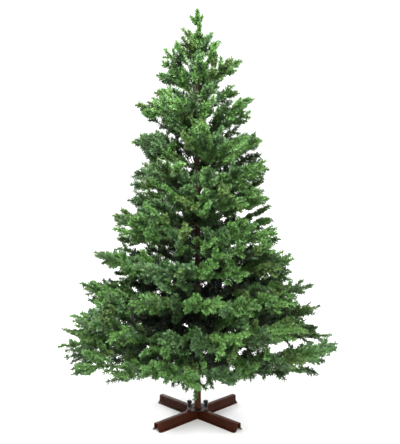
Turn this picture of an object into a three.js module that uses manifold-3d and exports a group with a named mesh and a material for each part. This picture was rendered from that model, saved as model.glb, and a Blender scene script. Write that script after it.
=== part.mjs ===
// Artificial Christmas tree, undecorated, on its own four-legged steel stand.
// Millimetres, +Z up. The origin is on the pole's axis at floor level, azimuth 0 is +X, and the
// tree is seen from -Y. The crown is ten tiers of needle foliage round one pole, and a leader.

import * as THREE from "three";
import { mergeVertices } from "three/addons/utils/BufferGeometryUtils.js";
import Module from "manifold-3d";

const wasm = await Module();
wasm.setup();

const { lerp, degToRad } = THREE.MathUtils;

// Driving dimensions of the whole tree
const HEIGHT = 2100;
const GAP = 0.3;
const ROUND_SIDES = 10;

// Stand: hat-section legs pressed from sheet steel, a hub plate with its socket, knobs and bolts
const LEG = {
  azimuths: { back_right: 45, back_left: 135, front_left: 225, front_right: 315 },
  tip: 286,
  height: 40.5,
  topHalf: 12,
  topBend: 2,
  wallLean: 0.8,
  footHalf: 34.5,
  skirtRise: 12,
  toeWidth: 7.5,
  sheet: 2.5,
  cornerRound: 12,
  trim: 4,
};
const HUB = {
  plateHalf: 57,
  plateThick: 3,
  lobeRound: 14,
  waist: 4,
  flangeRadius: 24,
  flangeHigh: 2,
  flangeSlope: 3.5,
  overlap: 1,
  socketRadius: 18,
  socketBore: 16.3,
  socketTop: 150,
  socketFloor: 6,
};
const FASTENER = { offset: 61, shank: 4, hole: 4.3, end: 31, sides: 8 };
const KNOB = { radius: 13, high: 13, neckRadius: 6.5, neckHigh: 6, chamfer: 2.5 };
const BOLT = { radius: 8.5, high: 5, domeRadius: 5 };

// Pole: three tubes, each slipped into the one below, and a thin tip that carries the leader
const POLE = {
  sections: [
    { top: 690, radius: 16 },
    { top: 1210, radius: 14 },
    { top: 1700, radius: 11.5 },
  ],
  sleeveHigh: 34,
  sleeveWall: 1.2,
  tipRadiusLow: 8,
  tipRadius: 5.5,
  top: 1815,
  collarWall: 5,
  collarHigh: 14,
};

// Crown tiers from the lowest up: height on the pole, height of the tips, reach to the left (-X)
// and right (+X), how many masses stand round the pole, and the azimuth of the first of them
const TIERS = [
  { z: 305, tipZ: 425, left: 716, right: 726, count: 5, turn: 180, bough: 235, collar: true },
  { z: 445, tipZ: 545, left: 672, right: 648, count: 5, turn: 0, bough: 215, collar: true },
  { z: 585, tipZ: 690, left: 606, right: 606, count: 5, turn: 196, collar: true },
  { z: 720, tipZ: 820, left: 555, right: 500, count: 4, turn: 175, collar: true },
  { z: 860, tipZ: 985, left: 450, right: 430, count: 4, turn: 222, collar: true },
  { z: 1005, tipZ: 1140, left: 362, right: 378, count: 4, turn: 186, collar: true },
  { z: 1145, tipZ: 1285, left: 330, right: 378, count: 3, turn: 352 },
  { z: 1285, tipZ: 1430, left: 342, right: 345, count: 3, turn: 172 },
  { z: 1425, tipZ: 1625, left: 322, right: 293, count: 3, turn: 8 },
  { z: 1640, tipZ: 1830, left: 205, right: 236, count: 3, turn: 190 },
];
const SPACE = { margin: 4, poleClear: 30, firstDepth: 100, lastHeight: 96, leaderFloor: 104 };
const BOUGH = { rootRadius: 7, tipRadius: 5.5, sides: 6, steps: 2, rise: 14 };
const STEM = { radius: 7.5, tipRadius: 5.4, endShare: 0.95, tipPitch: 0.12, tipRoll: 0.6 };
const TWIG = {
  spacing: 0.66,
  spare: 2,
  firstAt: 0.55,
  innerAngle: 60,
  outerAngle: 38,
  jitter: 7,
  maxLength: 260,
  step: 10,
  lift: 51,
  liftSpread: 16,
  roll: 0.75,
  rollSpread: 0.6,
};
const SIDE_SPRAY = { every: 185, firstAt: 0.7, lastShort: 0.5, angle: 44, pitch: 0.2, size: 0.85 };
const SHOOT = { at: [0.1, 0.3], pitch: 0.95, azimuthSpread: 0.6, rollSpread: 1.2, size: 0.8 };
const FIT = { scales: [1, 0.84, 0.7, 0.55], leans: [0, -0.22, 0.22, -0.44, 0.44] };

// A spray of needles is a three-sided twig that widens into one ridged, toothed blade: a long
// middle brush and two pairs of brushes beside it
const SPRAY = {
  base: 108,
  reachShare: 0.14,
  shortest: 72,
  sunk: 1.2,
  neckHalf: 1.7,
  neckHigh: 2.2,
  ridgeAt: 0.3,
  ridgeHigh: 0.075,
  rollSpread: 0.3,
};
const BRUSHES = {
  collar: [0.12, 0.035],
  lowTip: [0.53, 0.3],
  lowNotch: [0.5, 0.1],
  highTip: [0.79, 0.215],
  highNotch: [0.74, 0.065],
};

// Leader: the top of the tree, with its prongs and the whorls below them. A lean is measured
// from upright
const LEADER = {
  stemTop: 1992,
  topRoll: 0.3,
  prongRoll: 0.6,
  whorlRoll: 0.5,
  prongs: [
    { z: 1976, azimuth: 180, lean: 26, length: 92 },
    { z: 1982, azimuth: 0, lean: 30, length: 88 },
    { z: 1964, azimuth: 90, lean: 28, length: 90 },
    { z: 1958, azimuth: 275, lean: 30, length: 92 },
  ],
  whorls: [
    { z: 1838, count: 5, turn: 160, lean: 56, length: 158, rise: 7 },
    { z: 1902, count: 4, turn: 8, lean: 46, length: 118, rise: 8 },
  ],
};

// Finishes: one for each kind of part
const finishes = {
  paintedPole: { color: 0x35211f, roughness: 0.55, metalness: 0.2 },
  brownPaint: { color: 0x4a2620, roughness: 0.42, metalness: 0.3 },
  blackPlastic: { color: 0x111112, roughness: 0.5, metalness: 0.0 },
  wrappedWire: { color: 0x3a3222, roughness: 0.85, metalness: 0.0 },
  needles: { color: 0x3f6e35, roughness: 0.8, metalness: 0.0 },
};

// Booleans between closed meshes
function toSolid(geometry) {
  const bare = geometry.clone();
  for (const name of Object.keys(bare.attributes)) {
    if (name !== "position") bare.deleteAttribute(name);
  }
  const merged = mergeVertices(bare, 1e-4);
  return new wasm.Manifold(
    new wasm.Mesh({
      numProp: 3,
      vertProperties: new Float32Array(merged.attributes.position.array),
      triVerts: new Uint32Array(merged.index.array),
    }),
  );
}

function toGeometry(solid) {
  const mesh = solid.getMesh();
  const geometry = new THREE.BufferGeometry();
  geometry.setAttribute("position", new THREE.BufferAttribute(mesh.vertProperties, 3));
  geometry.setIndex(new THREE.BufferAttribute(mesh.triVerts, 1));
  geometry.computeVertexNormals();
  return geometry;
}

// Seeded numbers between 0 and 1: the same key always gives the same number
function scatter(key) {
  const wave = Math.sin(key * 12.9898) * 43758.5453;
  return wave - Math.floor(wave);
}

function spread(key, amount) {
  return (2 * scatter(key) - 1) * amount;
}

// Small helpers for places and shapes
function polar(radius, azimuth, z) {
  return new THREE.Vector3(radius * Math.cos(azimuth), radius * Math.sin(azimuth), z);
}

function heading(azimuth, pitch) {
  return polar(Math.cos(pitch), azimuth, Math.sin(pitch));
}

function spun(x, y, angle) {
  return new THREE.Vector2(x, y).rotateAround(new THREE.Vector2(), angle);
}

function turned(points, sides = ROUND_SIDES) {
  const profile = points.map(([radius, z]) => new THREE.Vector2(radius, z));
  return new THREE.LatheGeometry(profile, sides).rotateX(Math.PI / 2);
}

function extruded(shape, depth, curveSegments = 6) {
  return new THREE.ExtrudeGeometry(shape, { depth, bevelEnabled: false, curveSegments });
}

// A tapering limb of a few flat sides that follows a curve
function limb(curve, rootRadius, tipRadius, sides, steps) {
  const geometry = new THREE.CylinderGeometry(tipRadius, rootRadius, 1, sides, steps);
  const place = geometry.attributes.position;
  for (let i = 0; i < place.count; i++) {
    const t = place.getY(i) + 0.5;
    const along = curve.getTangent(t);
    const across = new THREE.Vector3(-along.y, along.x, 0);
    if (across.lengthSq() < 1e-6) across.set(1, 0, 0);
    across.normalize();
    const over = new THREE.Vector3().crossVectors(across, along);
    const point = curve.getPoint(t);
    point.addScaledVector(across, place.getX(i)).addScaledVector(over, place.getZ(i));
    place.setXYZ(i, point.x, point.y, point.z);
  }
  return geometry;
}

function straightLimb(from, to, rootRadius, tipRadius) {
  return limb(new THREE.LineCurve3(from, to), rootRadius, tipRadius, 3, 1);
}

// Stand leg: the hat section, run along +X and trimmed to its mitre, its round toe and its hole
function hatSection() {
  const { topHalf, topBend, wallLean, footHalf, height, sheet, skirtRise, toeWidth } = LEG;
  const wallFoot = topHalf + wallLean;
  const toe = footHalf - toeWidth;
  const right = [
    [topHalf - topBend, height],
    [topHalf, height - topBend],
    [wallFoot, skirtRise],
    [toe, sheet],
    [footHalf, sheet],
    [footHalf, 0],
    [toe - sheet / 2, 0],
    [wallFoot - sheet, skirtRise - sheet / 2],
    [topHalf - sheet, height - sheet],
  ];
  const left = right.map(([x, z]) => [-x, z]).reverse();
  const outline = [...right, ...left].map(([x, z]) => new THREE.Vector2(x, z));
  return new THREE.Shape(outline);
}

function legPlan() {
  const { tip, height, footHalf, cornerRound, trim } = LEG;
  const inner = HUB.socketRadius + GAP;
  const seam = GAP * Math.SQRT1_2;
  const wide = footHalf + trim;
  const plan = new THREE.Shape();
  plan.absarc(0, 0, inner, -Math.PI / 4, Math.PI / 4, false);
  plan.lineTo(wide, wide);
  plan.lineTo(wide, footHalf);
  plan.lineTo(tip - cornerRound, footHalf);
  plan.absarc(tip - cornerRound, footHalf - cornerRound, cornerRound, Math.PI / 2, 0, true);
  plan.absarc(tip - cornerRound, cornerRound - footHalf, cornerRound, 0, -Math.PI / 2, true);
  plan.lineTo(wide, -footHalf);
  plan.lineTo(wide, -wide);
  return extruded(plan, height + 2 * trim, 3).translate(seam, 0, -trim);
}

function fastenerHole(bottom, top) {
  const { hole, offset, sides } = FASTENER;
  const drill = new THREE.CylinderGeometry(hole, hole, top - bottom, sides).rotateX(Math.PI / 2);
  return toSolid(drill.translate(offset, 0, (bottom + top) / 2));
}

function legGeometry() {
  const axes = new THREE.Matrix4().makeBasis(
    new THREE.Vector3(0, 1, 0),
    new THREE.Vector3(0, 0, 1),
    new THREE.Vector3(1, 0, 0),
  );
  const channel = extruded(hatSection(), LEG.tip + LEG.trim).applyMatrix4(axes);
  const trimmed = toSolid(channel).intersect(toSolid(legPlan()));
  return toGeometry(trimmed.subtract(fastenerHole(FASTENER.end, LEG.height + LEG.trim)));
}

// Hub: a plate with a round lobe over each leg, and the socket that holds the pole
function hubPlate() {
  const { plateHalf, lobeRound, waist, plateThick, socketRadius, socketBore } = HUB;
  const lobe = plateHalf - lobeRound;
  const plate = new THREE.Shape();
  plate.moveTo(plateHalf - waist, 0);
  for (let corner = 0; corner < 4; corner++) {
    const start = (corner * Math.PI) / 2;
    const centre = spun(lobe, lobe, start);
    const next = spun(0, plateHalf - waist, start);
    plate.absarc(centre.x, centre.y, lobeRound, start, start + Math.PI / 2, false);
    plate.lineTo(next.x, next.y);
  }
  const throat = (socketRadius + socketBore) / 2;
  const ring = Array.from({ length: ROUND_SIDES }, (_, i) =>
    spun(throat, 0, (-2 * Math.PI * i) / ROUND_SIDES),
  );
  plate.holes.push(new THREE.Path(ring));
  return extruded(plate, plateThick, 3).translate(0, 0, LEG.height + GAP);
}

function hubGeometry() {
  const { socketRadius, socketBore, socketTop, socketFloor, overlap } = HUB;
  const plateTop = LEG.height + GAP + HUB.plateThick;
  const flangeTop = plateTop + HUB.flangeHigh;
  const socket = turned([
    [0, 0],
    [socketRadius, 0],
    [socketRadius, plateTop - overlap],
    [HUB.flangeRadius, plateTop - overlap],
    [HUB.flangeRadius, flangeTop],
    [socketRadius, flangeTop + HUB.flangeSlope],
    [socketRadius, socketTop],
    [socketBore, socketTop],
    [socketBore, socketFloor],
    [0, socketFloor],
  ]);
  const hole = fastenerHole(LEG.height - overlap, plateTop + overlap);
  const holes = Object.values(LEG.azimuths).map((azimuth) => hole.rotate([0, 0, azimuth]));
  const hub = holes.reduce((rest, next) => rest.subtract(next), toSolid(hubPlate()).add(toSolid(socket)));
  return toGeometry(hub);
}

function fastenerSeat() {
  return LEG.height + HUB.plateThick + 2 * GAP;
}

function knobGeometry() {
  const seat = fastenerSeat();
  const { radius, high, neckRadius, neckHigh, chamfer } = KNOB;
  const head = seat + neckHigh;
  return turned(
    [
      [0, FASTENER.end],
      [FASTENER.shank, FASTENER.end],
      [FASTENER.shank, seat],
      [neckRadius, seat],
      [neckRadius, head],
      [radius - chamfer, head],
      [radius, head + chamfer],
      [radius, head + high - chamfer],
      [radius - chamfer, head + high],
      [0, head + high],
    ],
    FASTENER.sides,
  );
}

function boltGeometry() {
  const seat = fastenerSeat();
  const { radius, high, domeRadius } = BOLT;
  return turned(
    [
      [0, FASTENER.end],
      [FASTENER.shank, FASTENER.end],
      [FASTENER.shank, seat],
      [radius, seat],
      [radius, seat + high / 2],
      [domeRadius, seat + high],
      [0, seat + high],
    ],
    FASTENER.sides,
  );
}

// Pole: tube radius at a height, and one turned profile with its sleeves and collars
function poleRadius(z) {
  const section = POLE.sections.find(({ top }) => z < top);
  if (section) return section.radius;
  const base = POLE.sections.at(-1).top;
  return lerp(POLE.tipRadiusLow, POLE.tipRadius, (z - base) / (POLE.top - base));
}

function seatRadius(tier) {
  return poleRadius(tier.z) + (tier.collar ? POLE.collarWall : 0);
}

function seatHeight(tier) {
  return tier.z - (tier.bough ? BOUGH.rise : 0);
}

// A limb that runs into the pole is cut back to the pole's faces, a gap clear of them
function cutBack(solid, tier) {
  const radius = seatRadius(tier) + GAP / Math.cos(Math.PI / ROUND_SIDES);
  const [low, high] = [tier.z - SPACE.lastHeight, tier.z + SPACE.lastHeight];
  return solid.subtract(toSolid(turned([[0, low], [radius, low], [radius, high], [0, high]])));
}

function poleGeometry() {
  const { sections, sleeveHigh, sleeveWall, collarHigh, tipRadius, tipRadiusLow, top } = POLE;
  const rings = TIERS.filter((tier) => tier.collar).map((tier) => ({
    low: seatHeight(tier) - collarHigh / 2,
    high: seatHeight(tier) + collarHigh / 2,
    radius: seatRadius(tier),
  }));
  const foot = HUB.socketFloor + GAP;
  const profile = [[0, foot]];
  let base = foot;
  for (const section of sections) {
    const sleeve = { low: section.top - sleeveHigh, high: section.top };
    sleeve.radius = section.radius + sleeveWall;
    profile.push([section.radius, base]);
    const bands = [...rings.filter((ring) => ring.low > base && ring.high < section.top), sleeve];
    for (const band of bands) {
      profile.push([section.radius, band.low], [band.radius, band.low], [band.radius, band.high]);
      if (band !== sleeve) profile.push([section.radius, band.high]);
    }
    base = section.top;
  }
  profile.push([tipRadiusLow, base], [tipRadius, top], [0, top]);
  return turned(profile);
}

// The space that a tier keeps to: a layer between nested cones round the pole
function reachAt(tier, azimuth) {
  return lerp(tier.left, tier.right, (1 + Math.cos(azimuth)) / 2);
}

function sprayLength(tier) {
  return SPRAY.base + (SPRAY.reachShare * (tier.left + tier.right)) / 2;
}

function middleHeight(tier, radius) {
  return tier.z + ((tier.tipZ - tier.z) * radius) / ((tier.left + tier.right) / 2);
}

function layerFloor(index, radius) {
  const middle = middleHeight(TIERS[index], radius);
  if (index === 0) return middle - SPACE.firstDepth;
  return (middle + middleHeight(TIERS[index - 1], radius)) / 2;
}

function layerTop(index, radius) {
  const middle = middleHeight(TIERS[index], radius);
  if (index === TIERS.length - 1) return middle + SPACE.lastHeight;
  return (middle + middleHeight(TIERS[index + 1], radius)) / 2;
}

function angleBetween(a, b) {
  return Math.abs(Math.atan2(Math.sin(a - b), Math.cos(a - b)));
}

function insideMass(mass, point) {
  const radius = Math.hypot(point.x, point.y);
  const azimuth = Math.atan2(point.y, point.x);
  const off = angleBetween(azimuth, mass.azimuth);
  if (radius < SPACE.poleClear || off >= mass.half) return false;
  if (radius * Math.sin(Math.min(mass.half - off, Math.PI / 2)) < SPACE.margin) return false;
  if (radius > reachAt(TIERS[mass.tier], azimuth) + 1) return false;
  const low = layerFloor(mass.tier, radius) + SPACE.margin;
  const high = layerTop(mass.tier, radius) - SPACE.margin;
  return point.z > low && point.z < high;
}

function insideLeader(mass, point) {
  const radius = Math.hypot(point.x, point.y);
  const floor = middleHeight(TIERS.at(-1), radius) + SPACE.leaderFloor;
  return point.z > floor && point.z <= HEIGHT + 0.01;
}

// Corners of a spray along a heading, rolled about it: neck end, ridge, tip, then both sides
function sprayCorners(root, direction, roll, neck, length) {
  const side = new THREE.Vector3(-direction.y, direction.x, 0);
  if (side.lengthSq() < 1e-4) side.set(1, 0, 0);
  side.normalize().applyAxisAngle(direction, roll);
  const over = new THREE.Vector3().crossVectors(direction, side);
  const corner = (x, y, z) =>
    root.clone().addScaledVector(direction, x).addScaledVector(side, y).addScaledVector(over, z);
  const corners = [
    corner(-SPRAY.sunk, 0, SPRAY.neckHigh / 2),
    corner(neck + SPRAY.ridgeAt * length, 0, SPRAY.ridgeHigh * length),
    corner(neck + length, 0, 0),
  ];
  for (const hand of [1, -1]) {
    corners.push(corner(-SPRAY.sunk, hand * SPRAY.neckHalf, -SPRAY.neckHigh / 2));
    for (const [x, y] of Object.values(BRUSHES)) {
      corners.push(corner(neck + x * length, hand * y * length, -SPRAY.neckHigh / 2));
    }
  }
  return corners;
}

function sprayGeometry(corners) {
  const [top, ridge, tip] = [0, 1, 2];
  const left = [3, 4, 5, 6, 7, 8];
  const right = left.map((corner) => corner + left.length);
  const faces = [top, left[0], right[0], left[5], tip, right[5]];
  for (const [hand, order] of [[left, [0, 2, 1]], [right, [0, 1, 2]]]) {
    const [root, collar, lowTip, lowNotch, highTip, highNotch] = hand;
    const half = [
      [top, root, collar],
      [top, collar, ridge],
      [ridge, collar, lowTip],
      [ridge, lowTip, lowNotch],
      [ridge, lowNotch, highTip],
      [ridge, highTip, highNotch],
      [ridge, highNotch, tip],
      [collar, lowNotch, lowTip],
      [lowNotch, highNotch, highTip],
    ];
    for (const face of half) faces.push(...order.map((corner) => face[corner]));
  }
  const spine = [0, 1, 3, 5];
  for (let i = 0; i + 1 < spine.length; i++) {
    const [here, next] = [spine[i], spine[i + 1]];
    faces.push(left[here], left[next], right[next], left[here], right[next], right[here]);
  }
  const geometry = new THREE.BufferGeometry().setFromPoints(corners);
  geometry.setIndex(faces);
  return geometry;
}

// A point in the middle of a spray's twig, at a share of the way to its blade
function neckPoint(corners, share) {
  const [top, ridge, , leftRoot, leftCollar] = corners;
  const [rightRoot, rightCollar] = corners.slice(9);
  const crest = top.clone().lerp(ridge, share);
  const left = leftRoot.clone().lerp(leftCollar, share);
  const right = rightRoot.clone().lerp(rightCollar, share);
  return crest.add(left).add(right).divideScalar(3);
}

// The first spray that fits, from the wanted size and pitch down: it stays in the mass's space
// and touches nothing that has grown there, apart from what it grows on
function fitSpray(mass, carrier, root, azimuth, pitch, neck, length, roll) {
  for (const scale of FIT.scales) {
    for (const lean of FIT.leans) {
      const size = length * scale;
      if (size < SPRAY.shortest) continue;
      const corners = sprayCorners(root, heading(azimuth, pitch + lean), roll, neck, size);
      if (!corners.slice(1).every((corner) => mass.holds(mass, corner))) continue;
      const solid = toSolid(sprayGeometry(corners));
      const others = mass.grown.filter((other) => other !== carrier);
      if (others.some((other) => !other.solid.intersect(solid).isEmpty())) continue;
      const spray = { corners, solid };
      mass.grown.push(spray);
      return spray;
    }
  }
  return null;
}

// The longest twig from a point that leaves room for the blade at its end
function neckLength(mass, from, azimuth, blade) {
  let length = 0;
  for (let trial = 0; trial <= TWIG.maxLength; trial += TWIG.step) {
    const end = from.clone().add(polar(trial + blade, azimuth, 0));
    end.z = middleHeight(TIERS[mass.tier], Math.hypot(end.x, end.y));
    if (!mass.holds(mass, end)) break;
    length = trial;
  }
  return length;
}

// A mass on a tier: one stem outwards, sprays on twigs to its left and right by turns, and
// shoots that stand up and hang down near the pole
function growFan(mass) {
  const tier = TIERS[mass.tier];
  const blade = sprayLength(tier);
  const stemEnd = reachAt(tier, mass.azimuth) - blade * STEM.endShare;
  const slope = Math.atan2(tier.tipZ - tier.z, stemEnd);
  const onStem = (t) => {
    const radius = lerp(mass.start, stemEnd, t);
    return polar(radius, mass.azimuth, middleHeight(tier, radius));
  };
  const whole = toSolid(straightLimb(onStem(0), onStem(1), STEM.radius, STEM.tipRadius));
  const stem = { solid: tier.bough ? whole : cutBack(whole, tier) };
  mass.grown.push(stem);
  const tipRoll = STEM.tipRoll + spread(mass.key, SPRAY.rollSpread);
  fitSpray(mass, stem, onStem(1), mass.azimuth, slope + STEM.tipPitch, 0, blade, tipRoll);

  const twigs = Math.round((stemEnd - mass.start) / (TWIG.spacing * blade)) + TWIG.spare;
  for (let i = 0; i < twigs; i++) growTwig(mass, stem, onStem, slope, blade, i, twigs);
  SHOOT.at.forEach((t, i) => {
    const pitch = i % 2 ? -SHOOT.pitch : SHOOT.pitch;
    const azimuth = mass.azimuth + spread(mass.key + i, SHOOT.azimuthSpread);
    const roll = spread(mass.key + 5 + i, SHOOT.rollSpread);
    fitSpray(mass, stem, onStem(t), azimuth, pitch, 0, blade * SHOOT.size, roll);
  });
}

// One twig of a mass, lifted or dropped from the stem's slope, with the sprays along it
function growTwig(mass, stem, onStem, slope, blade, i, twigs) {
  const key = mass.key + 17 * (i + 1);
  const t = (i + TWIG.firstAt) / twigs;
  const side = (i + mass.order) % 2 ? 1 : -1;
  const upward = (i + mass.order) % 4 < 2 ? 1 : -1;
  const angle = lerp(TWIG.innerAngle, TWIG.outerAngle, t) + spread(key, TWIG.jitter);
  const azimuth = mass.azimuth + side * degToRad(angle);
  const neck = neckLength(mass, onStem(t), azimuth, blade);
  const lift = TWIG.lift + spread(key + 2, TWIG.liftSpread);
  const pitch = slope + upward * Math.asin(lift / (neck + blade));
  const roll = side * (TWIG.roll + TWIG.rollSpread * scatter(key + 3));
  const spray = fitSpray(mass, stem, onStem(t), azimuth, pitch, neck, blade, roll);
  if (!spray) return;
  const extra = Math.round(neck / SIDE_SPRAY.every);
  for (let j = 0; j < extra; j++) {
    const root = neckPoint(spray.corners, (j + SIDE_SPRAY.firstAt) / (extra + SIDE_SPRAY.lastShort));
    const turn = (j % 2 ? 1 : -1) * side * degToRad(SIDE_SPRAY.angle);
    const size = blade * SIDE_SPRAY.size;
    fitSpray(mass, spray, root, azimuth + turn, pitch + SIDE_SPRAY.pitch, 0, size, -roll);
  }
}

// The leader: an upright stem on the pole's tip, its prongs and the whorls round its foot
function growLeader(mass) {
  const foot = new THREE.Vector3(0, 0, POLE.top + GAP);
  const head = new THREE.Vector3(0, 0, LEADER.stemTop);
  const stem = { solid: toSolid(straightLimb(foot, head, POLE.tipRadius, STEM.tipRadius)) };
  mass.grown.push(stem);
  const addSpray = (z, azimuth, pitch, length, roll) =>
    fitSpray(mass, stem, new THREE.Vector3(0, 0, z), azimuth, pitch, 0, length, roll);
  addSpray(LEADER.stemTop, 0, Math.PI / 2, HEIGHT - LEADER.stemTop, LEADER.topRoll);
  for (const { z, azimuth, lean, length } of LEADER.prongs) {
    addSpray(z, degToRad(azimuth), degToRad(90 - lean), length, LEADER.prongRoll);
  }
  LEADER.whorls.forEach(({ z, count, turn, lean, length, rise }, row) => {
    for (let i = 0; i < count; i++) {
      const azimuth = degToRad(turn + (360 * i) / count);
      const roll = LEADER.whorlRoll + spread(mass.key + 10 * row + i, SPRAY.rollSpread);
      addSpray(z + rise * i, azimuth, degToRad(90 - lean), length, roll);
    }
  });
}

function massGeometry(mass, grow) {
  grow(mass);
  return toGeometry(mass.grown.map(({ solid }) => solid).reduce((whole, next) => whole.add(next)));
}

// Bough: a limb of wrapped wire from the pole's collar out to the stem of its mass
function boughGeometry(tier, azimuth) {
  const rootPoint = polar(poleRadius(tier.z), azimuth, tier.z);
  const tipPoint = polar(tier.bough, azimuth, middleHeight(tier, tier.bough));
  const crest = rootPoint.clone().lerp(tipPoint, 0.5);
  rootPoint.z = seatHeight(tier);
  const curve = new THREE.QuadraticBezierCurve3(rootPoint, crest, tipPoint);
  const whole = limb(curve, BOUGH.rootRadius, BOUGH.tipRadius, BOUGH.sides, BOUGH.steps);
  return toGeometry(cutBack(toSolid(whole), tier));
}

// The scene graph
const tree = new THREE.Group();

function addPart(parent, name, geometry, finish) {
  const mesh = new THREE.Mesh(geometry, new THREE.MeshStandardMaterial(finishes[finish]));
  mesh.name = name;
  parent.add(mesh);
  return mesh;
}

function buildStand() {
  const stand = new THREE.Group();
  const leg = legGeometry();
  for (const [corner, azimuth] of Object.entries(LEG.azimuths)) {
    const arm = new THREE.Group();
    arm.rotation.z = degToRad(azimuth);
    addPart(arm, `stand_leg_${corner}`, leg.clone(), "brownPaint");
    const knobbed = corner.startsWith("back");
    const name = knobbed ? `stand_knob_${corner}` : `stand_bolt_${corner}`;
    const geometry = knobbed ? knobGeometry() : boltGeometry();
    const finish = knobbed ? "blackPlastic" : "brownPaint";
    addPart(arm, name, geometry, finish).position.x = FASTENER.offset;
    stand.add(arm);
  }
  addPart(stand, "stand_hub", hubGeometry(), "brownPaint");
  return stand;
}

function buildCrown() {
  const crown = new THREE.Group();
  TIERS.forEach((tier, index) => {
    for (let order = 0; order < tier.count; order++) {
      const azimuth = degToRad(tier.turn + (360 * order) / tier.count);
      const mass = {
        tier: index,
        order,
        azimuth,
        half: Math.PI / tier.count,
        start: tier.bough ? tier.bough + GAP : poleRadius(tier.z),
        key: 100 * (index + 1) + 7 * order,
        holds: insideMass,
        grown: [],
      };
      const label = `${index + 1}_${order + 1}`;
      if (tier.bough) addPart(crown, `bough_${label}`, boughGeometry(tier, azimuth), "wrappedWire");
      addPart(crown, `foliage_${label}`, massGeometry(mass, growFan), "needles");
    }
  });
  const leader = { key: 2000, holds: insideLeader, grown: [] };
  addPart(crown, "foliage_leader", massGeometry(leader, growLeader), "needles");
  return crown;
}

addPart(tree, "pole", poleGeometry(), "paintedPole");
tree.add(buildStand(), buildCrown());

export default tree;
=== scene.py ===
"""Looks of an undecorated artificial christmas tree on its four-legged steel stand.

Sizes are millimetres while a piece is worked out, and every mesh is in metres in the CAD's frame:
+Z up, the pole's axis at the origin, and the front of the tree seen from -Y. The crown follows the
rule of the part's source, mass by mass, and is carried on to brush tips and single needles.
"""

import logging
import math
import random
from dataclasses import dataclass, field
from enum import Enum

import bpy
from bpy.types import Material, Mesh, Node, NodeSocket, NodeTree, Object
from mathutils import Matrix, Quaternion, Vector
from mathutils.bvhtree import BVHTree


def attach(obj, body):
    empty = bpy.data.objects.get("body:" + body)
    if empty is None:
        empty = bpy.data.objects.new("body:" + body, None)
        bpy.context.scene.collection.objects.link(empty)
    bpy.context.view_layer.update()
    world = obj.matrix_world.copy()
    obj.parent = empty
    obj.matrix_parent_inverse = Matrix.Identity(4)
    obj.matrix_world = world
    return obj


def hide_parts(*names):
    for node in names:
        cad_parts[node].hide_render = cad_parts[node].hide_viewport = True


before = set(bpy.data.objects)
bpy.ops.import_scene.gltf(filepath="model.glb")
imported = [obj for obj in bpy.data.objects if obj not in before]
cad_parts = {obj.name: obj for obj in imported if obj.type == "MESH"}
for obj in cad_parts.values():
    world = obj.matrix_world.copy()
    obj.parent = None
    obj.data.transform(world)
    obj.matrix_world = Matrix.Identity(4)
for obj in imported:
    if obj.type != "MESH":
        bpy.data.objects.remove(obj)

log = logging.getLogger("tree")

MM = 0.001
BODY = "root"
CLOSED = 0.01

# A Span holds two ends of one size, a Row two sizes and a rub value, and a Route a turn with the
# radius and height of two ends

Number = float | NodeSocket
Span = tuple[float, float]
Place = tuple[float, float, float]
Row = tuple[float, float, float]
Route = tuple[float, float, float, float, float]


# Helpers for numbers and directions


def lerp(a: float, b: float, t: float) -> float:
    """Returns the number a share t of the way from a to b."""
    return a + (b - a) * t


def scatter(key: float, pace: float = 12.9898, swell: float = 43758.5453) -> float:
    """Returns the source's seeded number between 0 and 1 for a key."""
    wave = math.sin(key * pace) * swell
    return wave - math.floor(wave)


def spread(key: float, amount: float) -> float:
    """Returns a seeded number between -amount and amount."""
    return (2 * scatter(key) - 1) * amount


def polar(radius: float, azimuth: float, z: float) -> Vector:
    """Returns the point at a radius, azimuth and height round the pole."""
    return Vector((radius * math.cos(azimuth), radius * math.sin(azimuth), z))


def heading(azimuth: float, pitch: float) -> Vector:
    """Returns the unit direction of an azimuth and a pitch above the horizon."""
    return polar(math.cos(pitch), azimuth, math.sin(pitch))


def divided(start: Vector, end: Vector, steps: int) -> list[Vector]:
    """Returns the points that divide a line into equal steps, with both ends."""
    return [start.lerp(end, i / steps) for i in range(steps + 1)]


def tangent(path: list[Vector], i: int) -> Vector:
    """Returns the unit direction of a path at its point i."""
    return (path[min(i + 1, len(path) - 1)] - path[max(i - 1, 0)]).normalized()


def around(count: int) -> list[float]:
    """Returns the angles of equal steps round a circle."""
    return [math.tau * i / count for i in range(count)]


def moved(rows: tuple[Row, ...], out: float, up: float) -> list[Row]:
    """Returns rows of radius, height and rub, moved outwards and up."""
    return [(radius + out, z + up, rub) for radius, z, rub in rows]


def linear(code: int) -> tuple[float, float, float, float]:
    """Turns a display colour into a linear one, by the usual display curve.

    Args:
        code: The colour as red, green and blue bytes.

    Returns:
        The linear colour with alpha 1.
    """
    parts = [((code >> shift) & 255) / 255 for shift in (16, 8, 0)]
    low = [p / 12.92 if p <= 0.04045 else ((p + 0.055) / 1.055) ** 2.4 for p in parts]
    return (*low, 1.0)


def placed(name: str, data: bpy.types.ID) -> Object:
    """Puts a mesh, a light or a camera into the scene.

    Args:
        name: The object's name.
        data: What it holds.

    Returns:
        The object.
    """
    obj = bpy.data.objects.new(name, data)
    bpy.context.scene.collection.objects.link(obj)
    return obj


# Node trees


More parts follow.
